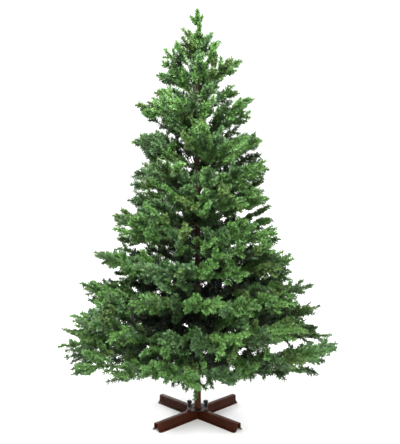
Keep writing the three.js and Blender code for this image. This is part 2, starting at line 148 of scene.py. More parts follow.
class NodeGraph:
    """Adds nodes and links to one node tree, by plain calls."""

    def __init__(self, tree: NodeTree) -> None:
        """Keeps the tree that the nodes go into."""
        self.tree = tree

    def add(self, kind: str, values: dict[str | int, object] | None = None,
            **settings: object) -> Node:
        """Adds a node.

        Args:
            kind: The node's type name.
            values: Input name or number to a value, or to an output socket to link from.
            **settings: Properties of the node itself.

        Returns:
            The new node.
        """
        node = self.tree.nodes.new(kind)
        for name, setting in settings.items():
            setattr(node, name, setting)
        for name, value in (values or {}).items():
            socket = self.input(node, name)
            if isinstance(value, NodeSocket):
                self.tree.links.new(value, socket)
            else:
                socket.default_value = value
        return node

    def input(self, node: Node, name: str | int) -> NodeSocket:
        """Finds an input of a node.

        Args:
            node: The node.
            name: The input's name, of which the enabled one is meant, or its number.

        Returns:
            The input.
        """
        if isinstance(name, int):
            return node.inputs[name]
        return next(s for s in node.inputs if s.name == name and s.enabled)

    def output(self, node: Node, name: str | None = None) -> NodeSocket:
        """Returns a node's enabled output of a name, or its first enabled output."""
        return next(s for s in node.outputs if s.enabled and name in (None, s.name))

    def attribute(self, name: str, kind: str) -> NodeSocket:
        """Returns the value of a named attribute of the points."""
        return self.output(self.add(
            "GeometryNodeInputNamedAttribute", {"Name": name}, data_type=kind))

    def math(self, operation: str, a: Number, b: Number = 0.0) -> NodeSocket:
        """Returns the result of a Math node on two numbers or sockets."""
        return self.output(self.add("ShaderNodeMath", {0: a, 1: b}, operation=operation))

    def vector(self, x: Number = 0.0, y: Number = 0.0, z: Number = 0.0) -> NodeSocket:
        """Returns a vector made of three numbers or sockets."""
        return self.output(self.add("ShaderNodeCombineXYZ", {"X": x, "Y": y, "Z": z}))


class GroupKind(Enum):
    """What a node group is for, with its tree's type name."""

    GROWTH = "GeometryNodeTree"
    SHADING = "ShaderNodeTree"


def new_group(name: str, kind: GroupKind, inputs: dict[str, tuple[str, object]],
              outputs: dict[str, str]) -> tuple[NodeGraph, dict[str, NodeSocket]]:
    """Makes a node group with named sockets.

    Args:
        name: The group's name.
        kind: What it is for.
        inputs: Input name to what it takes, such as Float, and its default or None.
        outputs: Output name to what it gives.

    Returns:
        The graph, and the group's input sockets as seen from inside, by name.
    """
    tree = bpy.data.node_groups.new(name, kind.value)
    for label, (holds, default) in inputs.items():
        socket = tree.interface.new_socket(
            name=label, in_out="INPUT", socket_type="NodeSocket" + holds)
        if default is not None:
            socket.default_value = default
    for label, holds in outputs.items():
        tree.interface.new_socket(name=label, in_out="OUTPUT", socket_type="NodeSocket" + holds)
    graph = NodeGraph(tree)
    inner = graph.add("NodeGroupInput")
    return graph, {s.name: s for s in inner.outputs if s.name}


# Growth by Geometry Nodes: needles along brush lines, and wire along twig lines


@dataclass(frozen=True)
class NeedleChance:
    """How single needles differ: turns in radians, and shares of a lean, width or length."""

    golden: float = 2.39996
    spin: Span = (-0.9, 0.9)
    lean: Span = (0.7, 1.25)
    facing: Span = (-1.3, 1.3)
    width: Span = (0.8, 1.2)
    length: Span = (0.8, 1.08)


def needle_tree(vary: NeedleChance) -> NodeTree:
    """Makes the tree that sets twisted strip needles round every line of a mesh.

    Each point of the lines carries the attributes grain, the line's direction; reach, the length
    of the needles there; and lean, their angle to the line.

    Args:
        vary: How single needles differ.

    Returns:
        The Geometry Nodes tree.
    """
    graph, given = new_group("needle_growth", GroupKind.GROWTH, {
        "Lines": ("Geometry", None),
        "Spacing": ("Float", 0.001),
        "Width": ("Float", 0.0022),
        "Taper": ("Float", 0.6),
        "Twist": ("Float", 1.2),
        "Seed": ("Int", 3),
        "Finish": ("Material", None),
    }, {"Geometry": "Geometry"})
    curve = graph.add("GeometryNodeMeshToCurve", {"Mesh": given["Lines"]})
    fine = graph.add("GeometryNodeResampleCurve", {
        "Curve": graph.output(curve), "Length": given["Spacing"]}, mode="LENGTH")

    strip = graph.add("GeometryNodeMeshGrid", {
        "Size X": 1.0, "Size Y": 1.0, "Vertices X": 2, "Vertices Y": 2})
    corner = graph.output(graph.add("GeometryNodeInputPosition"))
    place = graph.add("ShaderNodeSeparateXYZ", {0: corner})
    along = graph.math("ADD", place.outputs[1], 0.5)
    narrowed = graph.math("SUBTRACT", 1.0, graph.math("MULTIPLY", along, given["Taper"]))
    across = graph.math("MULTIPLY", place.outputs[0], narrowed)
    twisted = graph.math("MULTIPLY", graph.math("MULTIPLY", across, along), given["Twist"])
    needle = graph.add("GeometryNodeSetPosition", {
        "Geometry": graph.output(strip), "Position": graph.vector(across, twisted, along)})

    def chance(span: Span, step: int) -> NodeSocket:
        """Returns a number in a span for each needle, different for each step past the seed."""
        inputs = {"Min": span[0], "Max": span[1], "Seed": graph.math("ADD", given["Seed"], step)}
        return graph.output(graph.add("FunctionNodeRandomValue", inputs))

    def turn(rotation: NodeSocket, euler: NodeSocket) -> NodeSocket:
        """Returns a rotation followed by another about its own axes."""
        pair = {0: rotation, 1: graph.output(graph.add("FunctionNodeEulerToRotation", {0: euler}))}
        return graph.output(graph.add("FunctionNodeRotateRotation", pair, rotation_space="LOCAL"))

    grain = graph.attribute("grain", "FLOAT_VECTOR")
    aligned = graph.add("FunctionNodeAlignRotationToVector", {"Vector": grain}, axis="Z")
    number = graph.output(graph.add("GeometryNodeInputIndex"))
    spin = graph.math("ADD", graph.math("MULTIPLY", number, vary.golden), chance(vary.spin, 1))
    leaning = graph.math("MULTIPLY", graph.attribute("lean", "FLOAT"), chance(vary.lean, 2))
    rotation = turn(graph.output(aligned), graph.vector(z=spin))
    rotation = turn(rotation, graph.vector(x=leaning))
    rotation = turn(rotation, graph.vector(z=chance(vary.facing, 3)))
    width = graph.math("MULTIPLY", given["Width"], chance(vary.width, 4))
    length = graph.math("MULTIPLY", graph.attribute("reach", "FLOAT"), chance(vary.length, 5))
    spots = graph.add("GeometryNodeInstanceOnPoints", {
        "Points": graph.output(fine), "Instance": graph.output(needle), "Rotation": rotation,
        "Scale": graph.vector(width, width, length),
    })
    return finish_tree(graph, graph.output(spots), given["Finish"])


def wire_tree() -> NodeTree:
    """Makes the tree that turns every line of a mesh into a wire.

    Each point of the lines carries the attribute thick, the wire's radius there.

    Returns:
        The Geometry Nodes tree.
    """
    graph, given = new_group("wire_growth", GroupKind.GROWTH, {
        "Lines": ("Geometry", None),
        "Sides": ("Int", 4),
        "Finish": ("Material", None),
    }, {"Geometry": "Geometry"})
    curve = graph.add("GeometryNodeMeshToCurve", {"Mesh": given["Lines"]})
    thick = graph.attribute("thick", "FLOAT")
    ring = graph.add(
        "GeometryNodeCurvePrimitiveCircle", {"Resolution": given["Sides"], "Radius": 1.0})
    tube = graph.add("GeometryNodeCurveToMesh", {
        "Curve": graph.output(curve), "Profile Curve": graph.output(ring),
        "Scale": thick, "Fill Caps": True,
    })
    return finish_tree(graph, graph.output(tube), given["Finish"])


def finish_tree(graph: NodeGraph, geometry: NodeSocket, finish: NodeSocket) -> NodeTree:
    """Ends a tree in Realize Instances and Set Material.

    Args:
        graph: The tree's graph.
        geometry: The socket that gives the geometry.
        finish: The socket that gives the material.

    Returns:
        The finished tree.
    """
    real = graph.add("GeometryNodeRealizeInstances", {"Geometry": geometry})
    dressed = graph.add(
        "GeometryNodeSetMaterial", {"Geometry": graph.output(real), "Material": finish})
    graph.add("NodeGroupOutput", {0: graph.output(dressed)})
    return graph.tree


def grown(name: str, lines: Mesh, tree: NodeTree, inputs: dict[str, object]) -> Object:
    """Runs a growth tree on a mesh of lines and keeps the result as a plain mesh.

    Args:
        name: The piece's name.
        lines: The mesh of lines.
        tree: The Geometry Nodes tree.
        inputs: Input name to value.

    Returns:
        The piece, with no modifier left.
    """
    piece = placed(name, lines)
    modifier = piece.modifiers.new("growth", "NODES")
    modifier.node_group = tree
    for socket in tree.interface.items_tree:
        if socket.item_type == "SOCKET" and socket.in_out == "INPUT" and socket.name in inputs:
            modifier[socket.identifier] = inputs[socket.name]
    depsgraph = bpy.context.evaluated_depsgraph_get()
    result = bpy.data.meshes.new_from_object(piece.evaluated_get(depsgraph), depsgraph=depsgraph)
    piece.modifiers.clear()
    piece.data = result
    result.name = name
    bpy.data.meshes.remove(lines)
    return piece


# Finishes


def grain_group() -> NodeTree:
    """Makes the shader group of a sprayed or moulded coat: cloudy tone, fine bumps, rubbed edges.

    Returns:
        The shader node group, with outputs Tone, Height and Rub.
    """
    graph, given = new_group("coat_grain", GroupKind.SHADING, {
        "Cloud Scale": ("Float", 30.0),
        "Bump Scale": ("Float", 900.0),
        "Rub Width": ("Float", 0.5),
    }, {"Tone": "Float", "Height": "Float", "Rub": "Float"})
    spot = graph.output(graph.add("ShaderNodeTexCoord"), "Object")
    cloud = graph.add(
        "ShaderNodeTexNoise", {"Vector": spot, "Scale": given["Cloud Scale"], "Detail": 4.0})
    bumps = graph.add(
        "ShaderNodeTexNoise", {"Vector": spot, "Scale": given["Bump Scale"], "Detail": 2.0})
    edge = graph.output(graph.add("ShaderNodeAttribute", attribute_name="rub"), "Fac")
    worn = graph.math("MULTIPLY", edge, graph.math("ADD", graph.output(cloud), given["Rub Width"]))
    graph.add("NodeGroupOutput", {0: graph.output(cloud), 1: graph.output(bumps), 2: worn})
    return graph.tree


def new_material(name: str, code: int) -> tuple[Material, Node]:
    """Makes a material.

    Args:
        name: Its name.
        code: Its colour where no shader is drawn.

    Returns:
        The material and its main shader.
    """
    material = bpy.data.materials.new(name)
    material.use_nodes = True
    material.diffuse_color = linear(code)
    nodes = material.node_tree.nodes
    return material, next(n for n in nodes if n.type == "BSDF_PRINCIPLED")


@dataclass(frozen=True)
class CoatFinish:
    """A painted, moulded or wrapped finish with a cloudy tone, rubbed edges and fine bumps.

    The roughness is given for the darkest and the lightest tone.
    """

    name: str
    dark: int
    light: int
    rubbed: int
    roughness: Span
    bump: float
    cloud_scale: float
    bump_scale: float
    bump_depth: float = 0.0004
    specular: float = 0.08

    def build(self, grain: NodeTree) -> Material:
        """Builds the material.

        Args:
            grain: The shader group made by grain_group.

        Returns:
            The material.
        """
        material, shader = new_material(self.name, self.light)
        graph = NodeGraph(material.node_tree)
        coat = graph.add("ShaderNodeGroup", {
            "Cloud Scale": self.cloud_scale, "Bump Scale": self.bump_scale}, node_tree=grain)
        tone = graph.add("ShaderNodeMix", {
            "Factor": coat.outputs["Tone"], "A": linear(self.dark), "B": linear(self.light),
        }, data_type="RGBA")
        worn = graph.add("ShaderNodeMix", {
            "Factor": coat.outputs["Rub"], "A": graph.output(tone), "B": linear(self.rubbed),
        }, data_type="RGBA")
        gloss = graph.add("ShaderNodeMapRange", {
            "Value": coat.outputs["Tone"], "To Min": self.roughness[0], "To Max": self.roughness[1],
        })
        relief = graph.add("ShaderNodeBump", {
            "Height": coat.outputs["Height"], "Strength": self.bump, "Distance": self.bump_depth,
        })
        for name, node in (("Base Color", worn), ("Roughness", gloss), ("Normal", relief)):
            graph.tree.links.new(graph.output(node), shader.inputs[name])
        shader.inputs["Specular IOR Level"].default_value = self.specular
        return material


class NeedleTint(Enum):
    """The greens of the needles, dealt out by spray, with a painted light green and painted shade
    greens among them.
    """

    # painted light: a lighter green, dealt more at the crown's outline and towards the top
    FRESH = 0x3C5B29
    LEAF = 0x325022
    MOSS = 0x374C22
    SEA = 0x324B2A
    # painted shade: a darker green, dealt more inside the crown and low down
    DEEP = 0x203617
    # painted shade: a near-black green, dealt to the brushes deep inside the crown
    SHADE = 0x0D1A09


@dataclass(frozen=True)
class NeedleFinish:
    """Matt cut film in one plain green."""

    tint: NeedleTint
    roughness: float = 0.5
    specular: float = 0.25

    def build(self) -> Material:
        """Builds the material.

        Returns:
            The material.
        """
        material, shader = new_material(f"needles_{self.tint.name.lower()}", self.tint.value)
        shader.inputs["Base Color"].default_value = linear(self.tint.value)
        shader.inputs["Roughness"].default_value = self.roughness
        shader.inputs["Specular IOR Level"].default_value = self.specular
        return material


STAND_PAINT = CoatFinish(
    "stand_paint", dark=0x200D07, light=0x401D0E, rubbed=0x4E2718,
    roughness=(0.5, 0.38), bump=0.12, cloud_scale=14, bump_scale=700)
PLATE_PAINT = CoatFinish(
    "plate_paint", dark=0x0F0908, light=0x1A1110, rubbed=0x302322,
    roughness=(0.45, 0.36), bump=0.1, cloud_scale=22, bump_scale=700)
POLE_PAINT = CoatFinish(
    "pole_paint", dark=0x1F120F, light=0x301C17, rubbed=0x4A3026,
    roughness=(0.5, 0.38), bump=0.12, cloud_scale=18, bump_scale=700)
KNOB_PLASTIC = CoatFinish(
    "knob_plastic", dark=0x070708, light=0x0F0F10, rubbed=0x232325,
    roughness=(0.5, 0.4), bump=0.15, cloud_scale=60, bump_scale=1400)
WIRE_WRAP = CoatFinish(
    "wire_wrap", dark=0x20261A, light=0x3A3F26, rubbed=0x55482C,
    roughness=(0.85, 0.7), bump=0.5, cloud_scale=90, bump_scale=1200)
FLOOR_COAT = CoatFinish(
    "pale_floor", dark=0xF4F4F4, light=0xF8F8F8, rubbed=0xF8F8F8,
    roughness=(0.95, 0.9), bump=0.0, cloud_scale=3, bump_scale=40)


# Meshes made by rule


@dataclass
class MeshMaker:
    """Collects points, faces and a rub value for each point, in millimetres."""

    points: list[Vector] = field(default_factory=list)
    faces: list[tuple[int, ...]] = field(default_factory=list)
    rub: list[float] = field(default_factory=list)

    def ring(self, points: list[Vector], rub: float | list[float] = 0.0) -> list[int]:
        """Adds a row of points.

        Args:
            points: The points.
            rub: How worn they are, as one number or one for each.

        Returns:
            Their numbers.
        """
        first = len(self.points)
        self.points.extend(points)
        self.rub.extend(rub if isinstance(rub, list) else [rub] * len(points))
        return list(range(first, first + len(points)))

    def skin(self, low: list[int], high: list[int]) -> None:
        """Joins two closed rows of equally many points with four-sided faces.

        Args:
            low: The first row, seen from outside with its points running to the right.
            high: The row above it.
        """
        for i in range(len(low)):
            j = (i + 1) % len(low)
            self.faces.append((low[i], low[j], high[j], high[i]))

    def tube(self, rows: list[list[int]]) -> None:
        """Joins closed rows from the first to the last, with flat ends.

        Args:
            rows: The numbers of each row's points.
        """
        for low, high in zip(rows, rows[1:]):
            self.skin(low, high)
        self.faces.append(tuple(reversed(rows[0])))
        self.faces.append(tuple(rows[-1]))

    def turned(self, profile: list[Row], sides: int, lobes: int = 0, hollow: float = 0.0,
               centre: Vector = Vector()) -> None:
        """Adds a turned solid, with lobes round it if wanted.

        Args:
            profile: Radius, height and rub of its rings, from the lowest up the outside.
            sides: Points in a ring.
            lobes: How many lobes go round.
            hollow: The share of the radius that the hollows between the lobes take.
            centre: Where the axis stands.
        """
        rows = []
        for radius, z, rub in profile:
            ring = []
            for angle in around(sides):
                wide = radius * (1 - hollow * (0.5 - 0.5 * math.cos(lobes * angle)))
                ring.append(centre + polar(wide, angle, z))
            rows.append(self.ring(ring, rub))
        self.tube(rows)

    def box(self, centre: Vector, half: Vector, azimuth: float, rub: float = 0.3) -> None:
        """Adds a box turned to an azimuth.

        Args:
            centre: Its middle.
            half: Half its sizes before it is turned.
            azimuth: The turn about the upright.
            rub: How worn it is.
        """
        turn = Quaternion((0, 0, 1), azimuth)
        rows = []
        for z in (-half.z, half.z):
            corners = ((-1, -1), (1, -1), (1, 1), (-1, 1))
            rows.append(self.ring([
                centre + turn @ Vector((x * half.x, y * half.y, z)) for x, y in corners], rub))
        self.tube(rows)

    def limb(self, path: list[Vector], radii: list[list[float]]) -> None:
        """Adds a limb that follows a path.

        Args:
            path: The points along its middle.
            radii: For each of them, the radius at each point of its ring.
        """
        rows = []
        for i, (point, wide) in enumerate(zip(path, radii)):
            along = tangent(path, i)
            across = Vector((-along.y, along.x, 0)).normalized()
            over = along.cross(across)
            ring = []
            for angle, radius in zip(around(len(wide)), wide):
                ring.append(point + (across * math.cos(angle) + over * math.sin(angle)) * radius)
            rows.append(self.ring(ring))
        self.tube(rows)

    def piece(self, name: str, finish: Material, sharp: float = 38.0) -> Object:
        """Makes the piece, in metres, smooth but for its sharp edges.

        Args:
            name: The piece's name.
            finish: Its material.
            sharp: The bend in degrees from which an edge stays sharp.

        Returns:
            The piece's object.
        """
        mesh = bpy.data.meshes.new(name)
        mesh.from_pydata([p * MM for p in self.points], [], self.faces)
        worn = mesh.attributes.new("rub", "FLOAT", "POINT")
        worn.data.foreach_set("value", self.rub)
        mesh.materials.append(finish)
        mesh.shade_smooth()
        mesh.set_sharp_from_angle(angle=math.radians(sharp))
        return placed(name, mesh)


@dataclass
class LineBank:
    """Collects lines with values at their points, as the growth trees want them."""

    points: list[Vector] = field(default_factory=list)
    edges: list[tuple[int, int]] = field(default_factory=list)
    grain: list[Vector] = field(default_factory=list)
    values: dict[str, list[float]] = field(default_factory=dict)
    length: float = 0.0

    def add(self, path: list[Vector], **values: list[float]) -> None:
        """Adds a line.

        Args:
            path: Its points in millimetres.
            **values: For each attribute, a number for each point.
        """
        first = len(self.points)
        self.points.extend(path)
        self.edges.extend((first + i, first + i + 1) for i in range(len(path) - 1))
        self.grain.extend(tangent(path, i) for i in range(len(path)))
        for name, numbers in values.items():
            self.values.setdefault(name, []).extend(numbers)
        self.length += sum((b - a).length for a, b in zip(path, path[1:]))

    def mesh(self, name: str) -> Mesh:
        """Makes the mesh of lines, in metres.

        Args:
            name: Its name.

        Returns:
            The mesh, with the grain and the values as attributes of its points.
        """
        mesh = bpy.data.meshes.new(name)
        mesh.from_pydata([p * MM for p in self.points], self.edges, [])
        grain = mesh.attributes.new("grain", "FLOAT_VECTOR", "POINT")
        grain.data.foreach_set("vector", [x for v in self.grain for x in v])
        for label, numbers in self.values.items():
            mesh.attributes.new(label, "FLOAT", "POINT").data.foreach_set("value", numbers)
        return mesh


# The crown's rule, the same as in the part's source


@dataclass(frozen=True)
class Tier:
    """One tier of branches.

    It leaves the pole at z and its tips stand at tip_z. It reaches left and right from the pole,
    has count masses with the first at turn degrees, and its boughs end at the radius bough, with
    0 for a tier without boughs.
    """

    z: float
    tip_z: float
    left: float
    right: float
    count: int
    turn: float
    bough: float = 0.0
    collar: bool = False

    @property
    def mean(self) -> float:
        """The mean reach."""
        return (self.left + self.right) / 2

    @property
    def azimuths(self) -> list[float]:
        """The azimuths of its masses."""
        return [math.radians(self.turn + 360 * i / self.count) for i in range(self.count)]


TIERS = (
    Tier(305, 425, 716, 726, 5, 180, 235, True),
    Tier(445, 545, 672, 648, 5, 0, 215, True),
    Tier(585, 690, 606, 606, 5, 196, collar=True),
    Tier(720, 820, 555, 500, 4, 175, collar=True),
    Tier(860, 985, 450, 430, 4, 222, collar=True),
    Tier(1005, 1140, 362, 378, 4, 186, collar=True),
    Tier(1145, 1285, 330, 378, 3, 352),
    Tier(1285, 1430, 342, 345, 3, 172),
    Tier(1425, 1625, 322, 293, 3, 8),
    Tier(1640, 1830, 205, 236, 3, 190),
)
HEIGHT = 2100.0


@dataclass(frozen=True)
class PoleSizes:
    """The pole's tubes as their tops and radii, and its sleeves, collars and tip."""

    sections: tuple[Span, ...] = ((690, 16), (1210, 14), (1700, 11.5))
    foot: float = 6.3
    sleeve_high: float = 34
    sleeve_wall: float = 1.2
    tip_low: float = 8
    tip_radius: float = 5.5
    top: float = 1815
    collar_wall: float = 5
    collar_high: float = 14
    bough_rise: float = 14

    def radius(self, z: float) -> float:
        """Returns the pole's radius at a height.

        Args:
            z: The height.

        Returns:
            The radius, without collars and sleeves.
        """
        for top, radius in self.sections:
            if z < top:
                return radius
        base = self.sections[-1][0]
        return lerp(self.tip_low, self.tip_radius, (z - base) / (self.top - base))

    def seat(self, tier: Tier) -> float:
        """Returns the radius from which a tier's limbs grow."""
        return self.radius(tier.z) + (self.collar_wall if tier.collar else 0)

    def seat_height(self, tier: Tier) -> float:
        """Returns the height at which a tier's limbs leave the pole."""
        return tier.z - (self.bough_rise if tier.bough else 0)


POLE = PoleSizes()


@dataclass
class Spray:
    """One spray: its root, its three directions, its bare twig as the neck, and its blade."""

    root: Vector
    along: Vector
    side: Vector
    over: Vector
    neck: float
    size: float
    key: float
    solid: BVHTree | None = None

    def at(self, x: float, y: float = 0.0, z: float = 0.0) -> Vector:
        """Returns a point past the neck's end, in shares of the blade's length."""
        return (self.root + self.along * (self.neck + x * self.size)
                + self.side * (y * self.size) + self.over * (z * self.size))


@dataclass
class Mass:
    """One mass of foliage round its stem, in a sector of half radians to each side of its azimuth.

    The leader's mass has the tier -1.
    """

    node: str
    tier: int
    order: int
    azimuth: float
    half: float
    start: float
    key: float
    stem: tuple[Vector, Vector] = (Vector(), Vector())
    sprays: list[Spray] = field(default_factory=list)
    solids: list[BVHTree] = field(default_factory=list)


@dataclass
class CrownRule:
    """Grows every mass as the part's source does, in millimetres.

    A prong has its height, azimuth, lean and length. A whorl has its height, its number of
    sprays, its turn, their lean and length, and the rise from one to the next.
    """

    gap: float = 0.3
    margin: float = 4
    reach_spare: float = 1
    top_spare: float = 0.01
    pole_clear: float = 30
    first_depth: float = 100
    last_height: float = 96
    leader_floor: float = 104
    stem_radius: float = 7.5
    stem_tip: float = 5.4
    stem_end_share: float = 0.95
    stem_tip_pitch: float = 0.12
    stem_tip_roll: float = 0.6
    twig_spacing: float = 0.66
    twig_spare: int = 2
    twig_first: float = 0.55
    twig_angles: Span = (60, 38)
    twig_jitter: float = 7
    twig_longest: int = 260
    twig_step: int = 10
    twig_lift: Span = (51, 16)
    twig_roll: Span = (0.75, 0.6)
    side_every: float = 185
    side_root: float = 0.18
    side_first: float = 0.7
    side_last: float = 0.5
    side_angle: float = 44
    side_pitch: float = 0.2
    side_size: float = 0.85
    shoots: tuple[float, ...] = (0.1, 0.3)
    shoot_pitch: float = 0.95
    shoot_azimuth: float = 0.6
    shoot_roll: float = 1.2
    shoot_size: float = 0.8
    fit_scales: tuple[float, ...] = (1, 0.84, 0.7, 0.55)
    fit_leans: tuple[float, ...] = (0, -0.22, 0.22, -0.44, 0.44)
    tier_key: int = 100
    order_key: int = 7
    leader_key: int = 2000
    spray_key: float = 3.7
    twig_key: int = 17
    shoot_key: int = 5
    whorl_key: int = 10
    level_from: float = 1e-4
    spray_base: float = 108
    spray_share: float = 0.14
    spray_shortest: float = 72
    spray_roll: float = 0.3
    sunk: float = 1.2
    neck_half: float = 1.7
    neck_high: float = 2.2
    ridge_at: float = 0.3
    ridge_high: float = 0.075
    outline: tuple[Span, ...] = (
        (0.12, 0.035), (0.53, 0.3), (0.5, 0.1), (0.79, 0.215), (0.74, 0.065))
    leader_top: float = 1992
    leader_rolls: tuple[float, float, float] = (0.3, 0.6, 0.5)
    prongs: tuple[tuple[float, float, float, float], ...] = (
        (1976, 180, 26, 92), (1982, 0, 30, 88), (1964, 90, 28, 90), (1958, 275, 30, 92))
    whorls: tuple[tuple[float, int, float, float, float, float], ...] = (
        (1838, 5, 160, 56, 158, 7), (1902, 4, 8, 46, 118, 8))

    def reach_at(self, tier: Tier, azimuth: float) -> float:
        """Returns how far a tier reaches at an azimuth."""
        return lerp(tier.left, tier.right, (1 + math.cos(azimuth)) / 2)

    def middle(self, tier: Tier, radius: float) -> float:
        """Returns the height of a tier's middle at a radius."""
        return tier.z + (tier.tip_z - tier.z) * radius / tier.mean

    def layer(self, index: int, radius: float) -> Span:
        """Finds a tier's space at a radius.

        Args:
            index: The tier's number.
            radius: The radius.

        Returns:
            Its lowest and its highest height.
        """
        middle = self.middle(TIERS[index], radius)
        low, high = middle - self.first_depth, middle + self.last_height
        if index:
            low = (middle + self.middle(TIERS[index - 1], radius)) / 2
        if index + 1 < len(TIERS):
            high = (middle + self.middle(TIERS[index + 1], radius)) / 2
        return low, high

    def holds(self, mass: Mass, point: Vector, slack: float = 0.0) -> bool:
        """Tells whether a point is in a mass's own space.

        Args:
            mass: The mass.
            point: The point.
            slack: How far the point may stand over the space's limits.

        Returns:
            True if it is inside.
        """
        radius = math.hypot(point.x, point.y)
        if mass.tier < 0:
            floor = self.middle(TIERS[-1], radius) + self.leader_floor
            return floor < point.z <= HEIGHT + self.top_spare
        azimuth = math.atan2(point.y, point.x)
        off = abs(math.atan2(math.sin(azimuth - mass.azimuth), math.cos(azimuth - mass.azimuth)))
        if radius < self.pole_clear or off >= mass.half:
            return False
        if radius * math.sin(min(mass.half - off, math.pi / 2)) < self.margin - slack:
            return False
        if radius > self.reach_at(TIERS[mass.tier], azimuth) + self.reach_spare:
            return False
        low, high = self.layer(mass.tier, radius)
        return low + self.margin - slack < point.z < high - self.margin + slack

    def across(self, along: Vector) -> Vector:
        """Returns the level direction across a line, or +X for an upright one."""
        side = Vector((-along.y, along.x, 0))
        return side.normalized() if side.length_squared > self.level_from else Vector((1, 0, 0))

    def blade_solid(self, spray: Spray) -> tuple[list[Vector], BVHTree]:
        """Makes a spray's toothed blade as the source has it, for the touch test.

        Args:
            spray: The spray.

        Returns:
            The blade's corners past its root, and the blade.
        """
        def corner(x: float, y: float, z: float) -> Vector:
            """Returns a corner from its place along, across and over the spray."""
            return spray.root + spray.along * x + spray.side * y + spray.over * z

        neck, size, low = spray.neck, spray.size, -self.neck_high / 2
        corners = [
            corner(-self.sunk, 0, -low),
            corner(neck + self.ridge_at * size, 0, self.ridge_high * size),
            corner(neck + size, 0, 0),
        ]
        for hand in (1, -1):
            corners.append(corner(-self.sunk, hand * self.neck_half, low))
            corners.extend(corner(neck + x * size, hand * y * size, low) for x, y in self.outline)
        faces = []
        for first in (3, 9):
            root, collar, low_tip, low_notch, high_tip, high_notch = range(first, first + 6)
            faces += [
                (0, root, collar), (0, collar, 1), (1, collar, low_tip), (1, low_tip, low_notch),
                (1, low_notch, high_tip), (1, high_tip, high_notch), (1, high_notch, 2),
                (collar, low_notch, low_tip), (low_notch, high_notch, high_tip),
            ]
        spine = (0, 1, 3, 5)
        for here, after in zip(spine, spine[1:]):
            faces += [(3 + here, 3 + after, 9 + after), (3 + here, 9 + after, 9 + here)]
        faces += [(0, 3, 9), (8, 2, 14)]
        return corners[1:], BVHTree.FromPolygons(corners, faces)

    def fit(self, mass: Mass, carrier: BVHTree, root: Vector, azimuth: float, pitch: float,
            neck: float, length: float, roll: float) -> Spray | None:
        """Adds the first spray that fits, from the wanted size and pitch down.

        Args:
            mass: The mass that it grows in.
            carrier: What it grows on, which it may touch.
            root: Where it grows.
            azimuth: Where it heads.
            pitch: How far it rises.
            neck: The length of its bare twig.
            length: The wanted length of its blade.
            roll: How far it is rolled about its direction.

        Returns:
            The spray, or None where none fits.
        """
        for scale in self.fit_scales:
            for lean in self.fit_leans:
                size = length * scale
                if size < self.spray_shortest:
                    continue
                along = heading(azimuth, pitch + lean)
                side = Quaternion(along, roll) @ self.across(along)
                key = mass.key + self.spray_key * len(mass.sprays)
                spray = Spray(root.copy(), along, side, along.cross(side), neck, size, key)
                corners, spray.solid = self.blade_solid(spray)
                if not all(self.holds(mass, corner) for corner in corners):
                    continue
                if any(other is not carrier and spray.solid.overlap(other) for other in mass.solids):
                    continue
                mass.sprays.append(spray)
                mass.solids.append(spray.solid)
                return spray
        return None

    def stem_solid(self, start: Vector, end: Vector, root: float, tip: float) -> BVHTree:
        """Makes a three-sided stem for the touch test.

        Args:
            start: Where it begins.
            end: Where it ends.
            root: Its radius at the start.
            tip: Its radius at the end.

        Returns:
            The stem.
        """
        along = (end - start).normalized()
        across = self.across(along)
        over = across.cross(along)
        points = []
        for place, radius in ((start, root), (end, tip)):
            for angle in around(3):
                out = across * (radius * math.sin(angle))
                points.append(place + out + over * (radius * math.cos(angle)))
        faces = [(0, 1, 2), (3, 4, 5)]
        for i in range(3):
            j = (i + 1) % 3
            faces += [(i, j, j + 3), (i, j + 3, i + 3)]
        return BVHTree.FromPolygons(points, faces)

    def neck_length(self, mass: Mass, start: Vector, azimuth: float, blade: float) -> float:
        """Finds the longest twig that leaves room for the blade at its end.

        Args:
            mass: The mass that it grows in.
            start: Where it leaves the stem.
            azimuth: Where it heads.
            blade: The length of the blade.

        Returns:
            The twig's length.
        """
        longest = 0
        for trial in range(0, self.twig_longest + 1, self.twig_step):
            end = start + polar(trial + blade, azimuth, 0)
            end.z = self.middle(TIERS[mass.tier], math.hypot(end.x, end.y))
            if not self.holds(mass, end):
                break
            longest = trial
        return longest

    def fan(self, mass: Mass) -> None:
        """Grows a tier's mass: one stem, twigs by turns to its sides, and two shoots.

        Args:
            mass: The mass, with no sprays yet.
        """
        tier = TIERS[mass.tier]
        blade = self.spray_base + self.spray_share * tier.mean
        stem_end = self.reach_at(tier, mass.azimuth) - blade * self.stem_end_share
        slope = math.atan2(tier.tip_z - tier.z, stem_end)

        def on_stem(t: float) -> Vector:
            """Returns the point at a share of the stem."""
            radius = lerp(mass.start, stem_end, t)
            return polar(radius, mass.azimuth, self.middle(tier, radius))

        mass.stem = (on_stem(0), on_stem(1))
        stem = self.stem_solid(*mass.stem, self.stem_radius, self.stem_tip)
        mass.solids.append(stem)
        roll = self.stem_tip_roll + spread(mass.key, self.spray_roll)
        self.fit(mass, stem, on_stem(1), mass.azimuth, slope + self.stem_tip_pitch, 0, blade, roll)
        twigs = round((stem_end - mass.start) / (self.twig_spacing * blade)) + self.twig_spare
        for i in range(twigs):
            self.twig(mass, stem, on_stem((i + self.twig_first) / twigs), slope, blade, i, twigs)
        for i, t in enumerate(self.shoots):
            pitch = -self.shoot_pitch if i % 2 else self.shoot_pitch
            azimuth = mass.azimuth + spread(mass.key + i, self.shoot_azimuth)
            roll = spread(mass.key + self.shoot_key + i, self.shoot_roll)
            self.fit(mass, stem, on_stem(t), azimuth, pitch, 0, blade * self.shoot_size, roll)

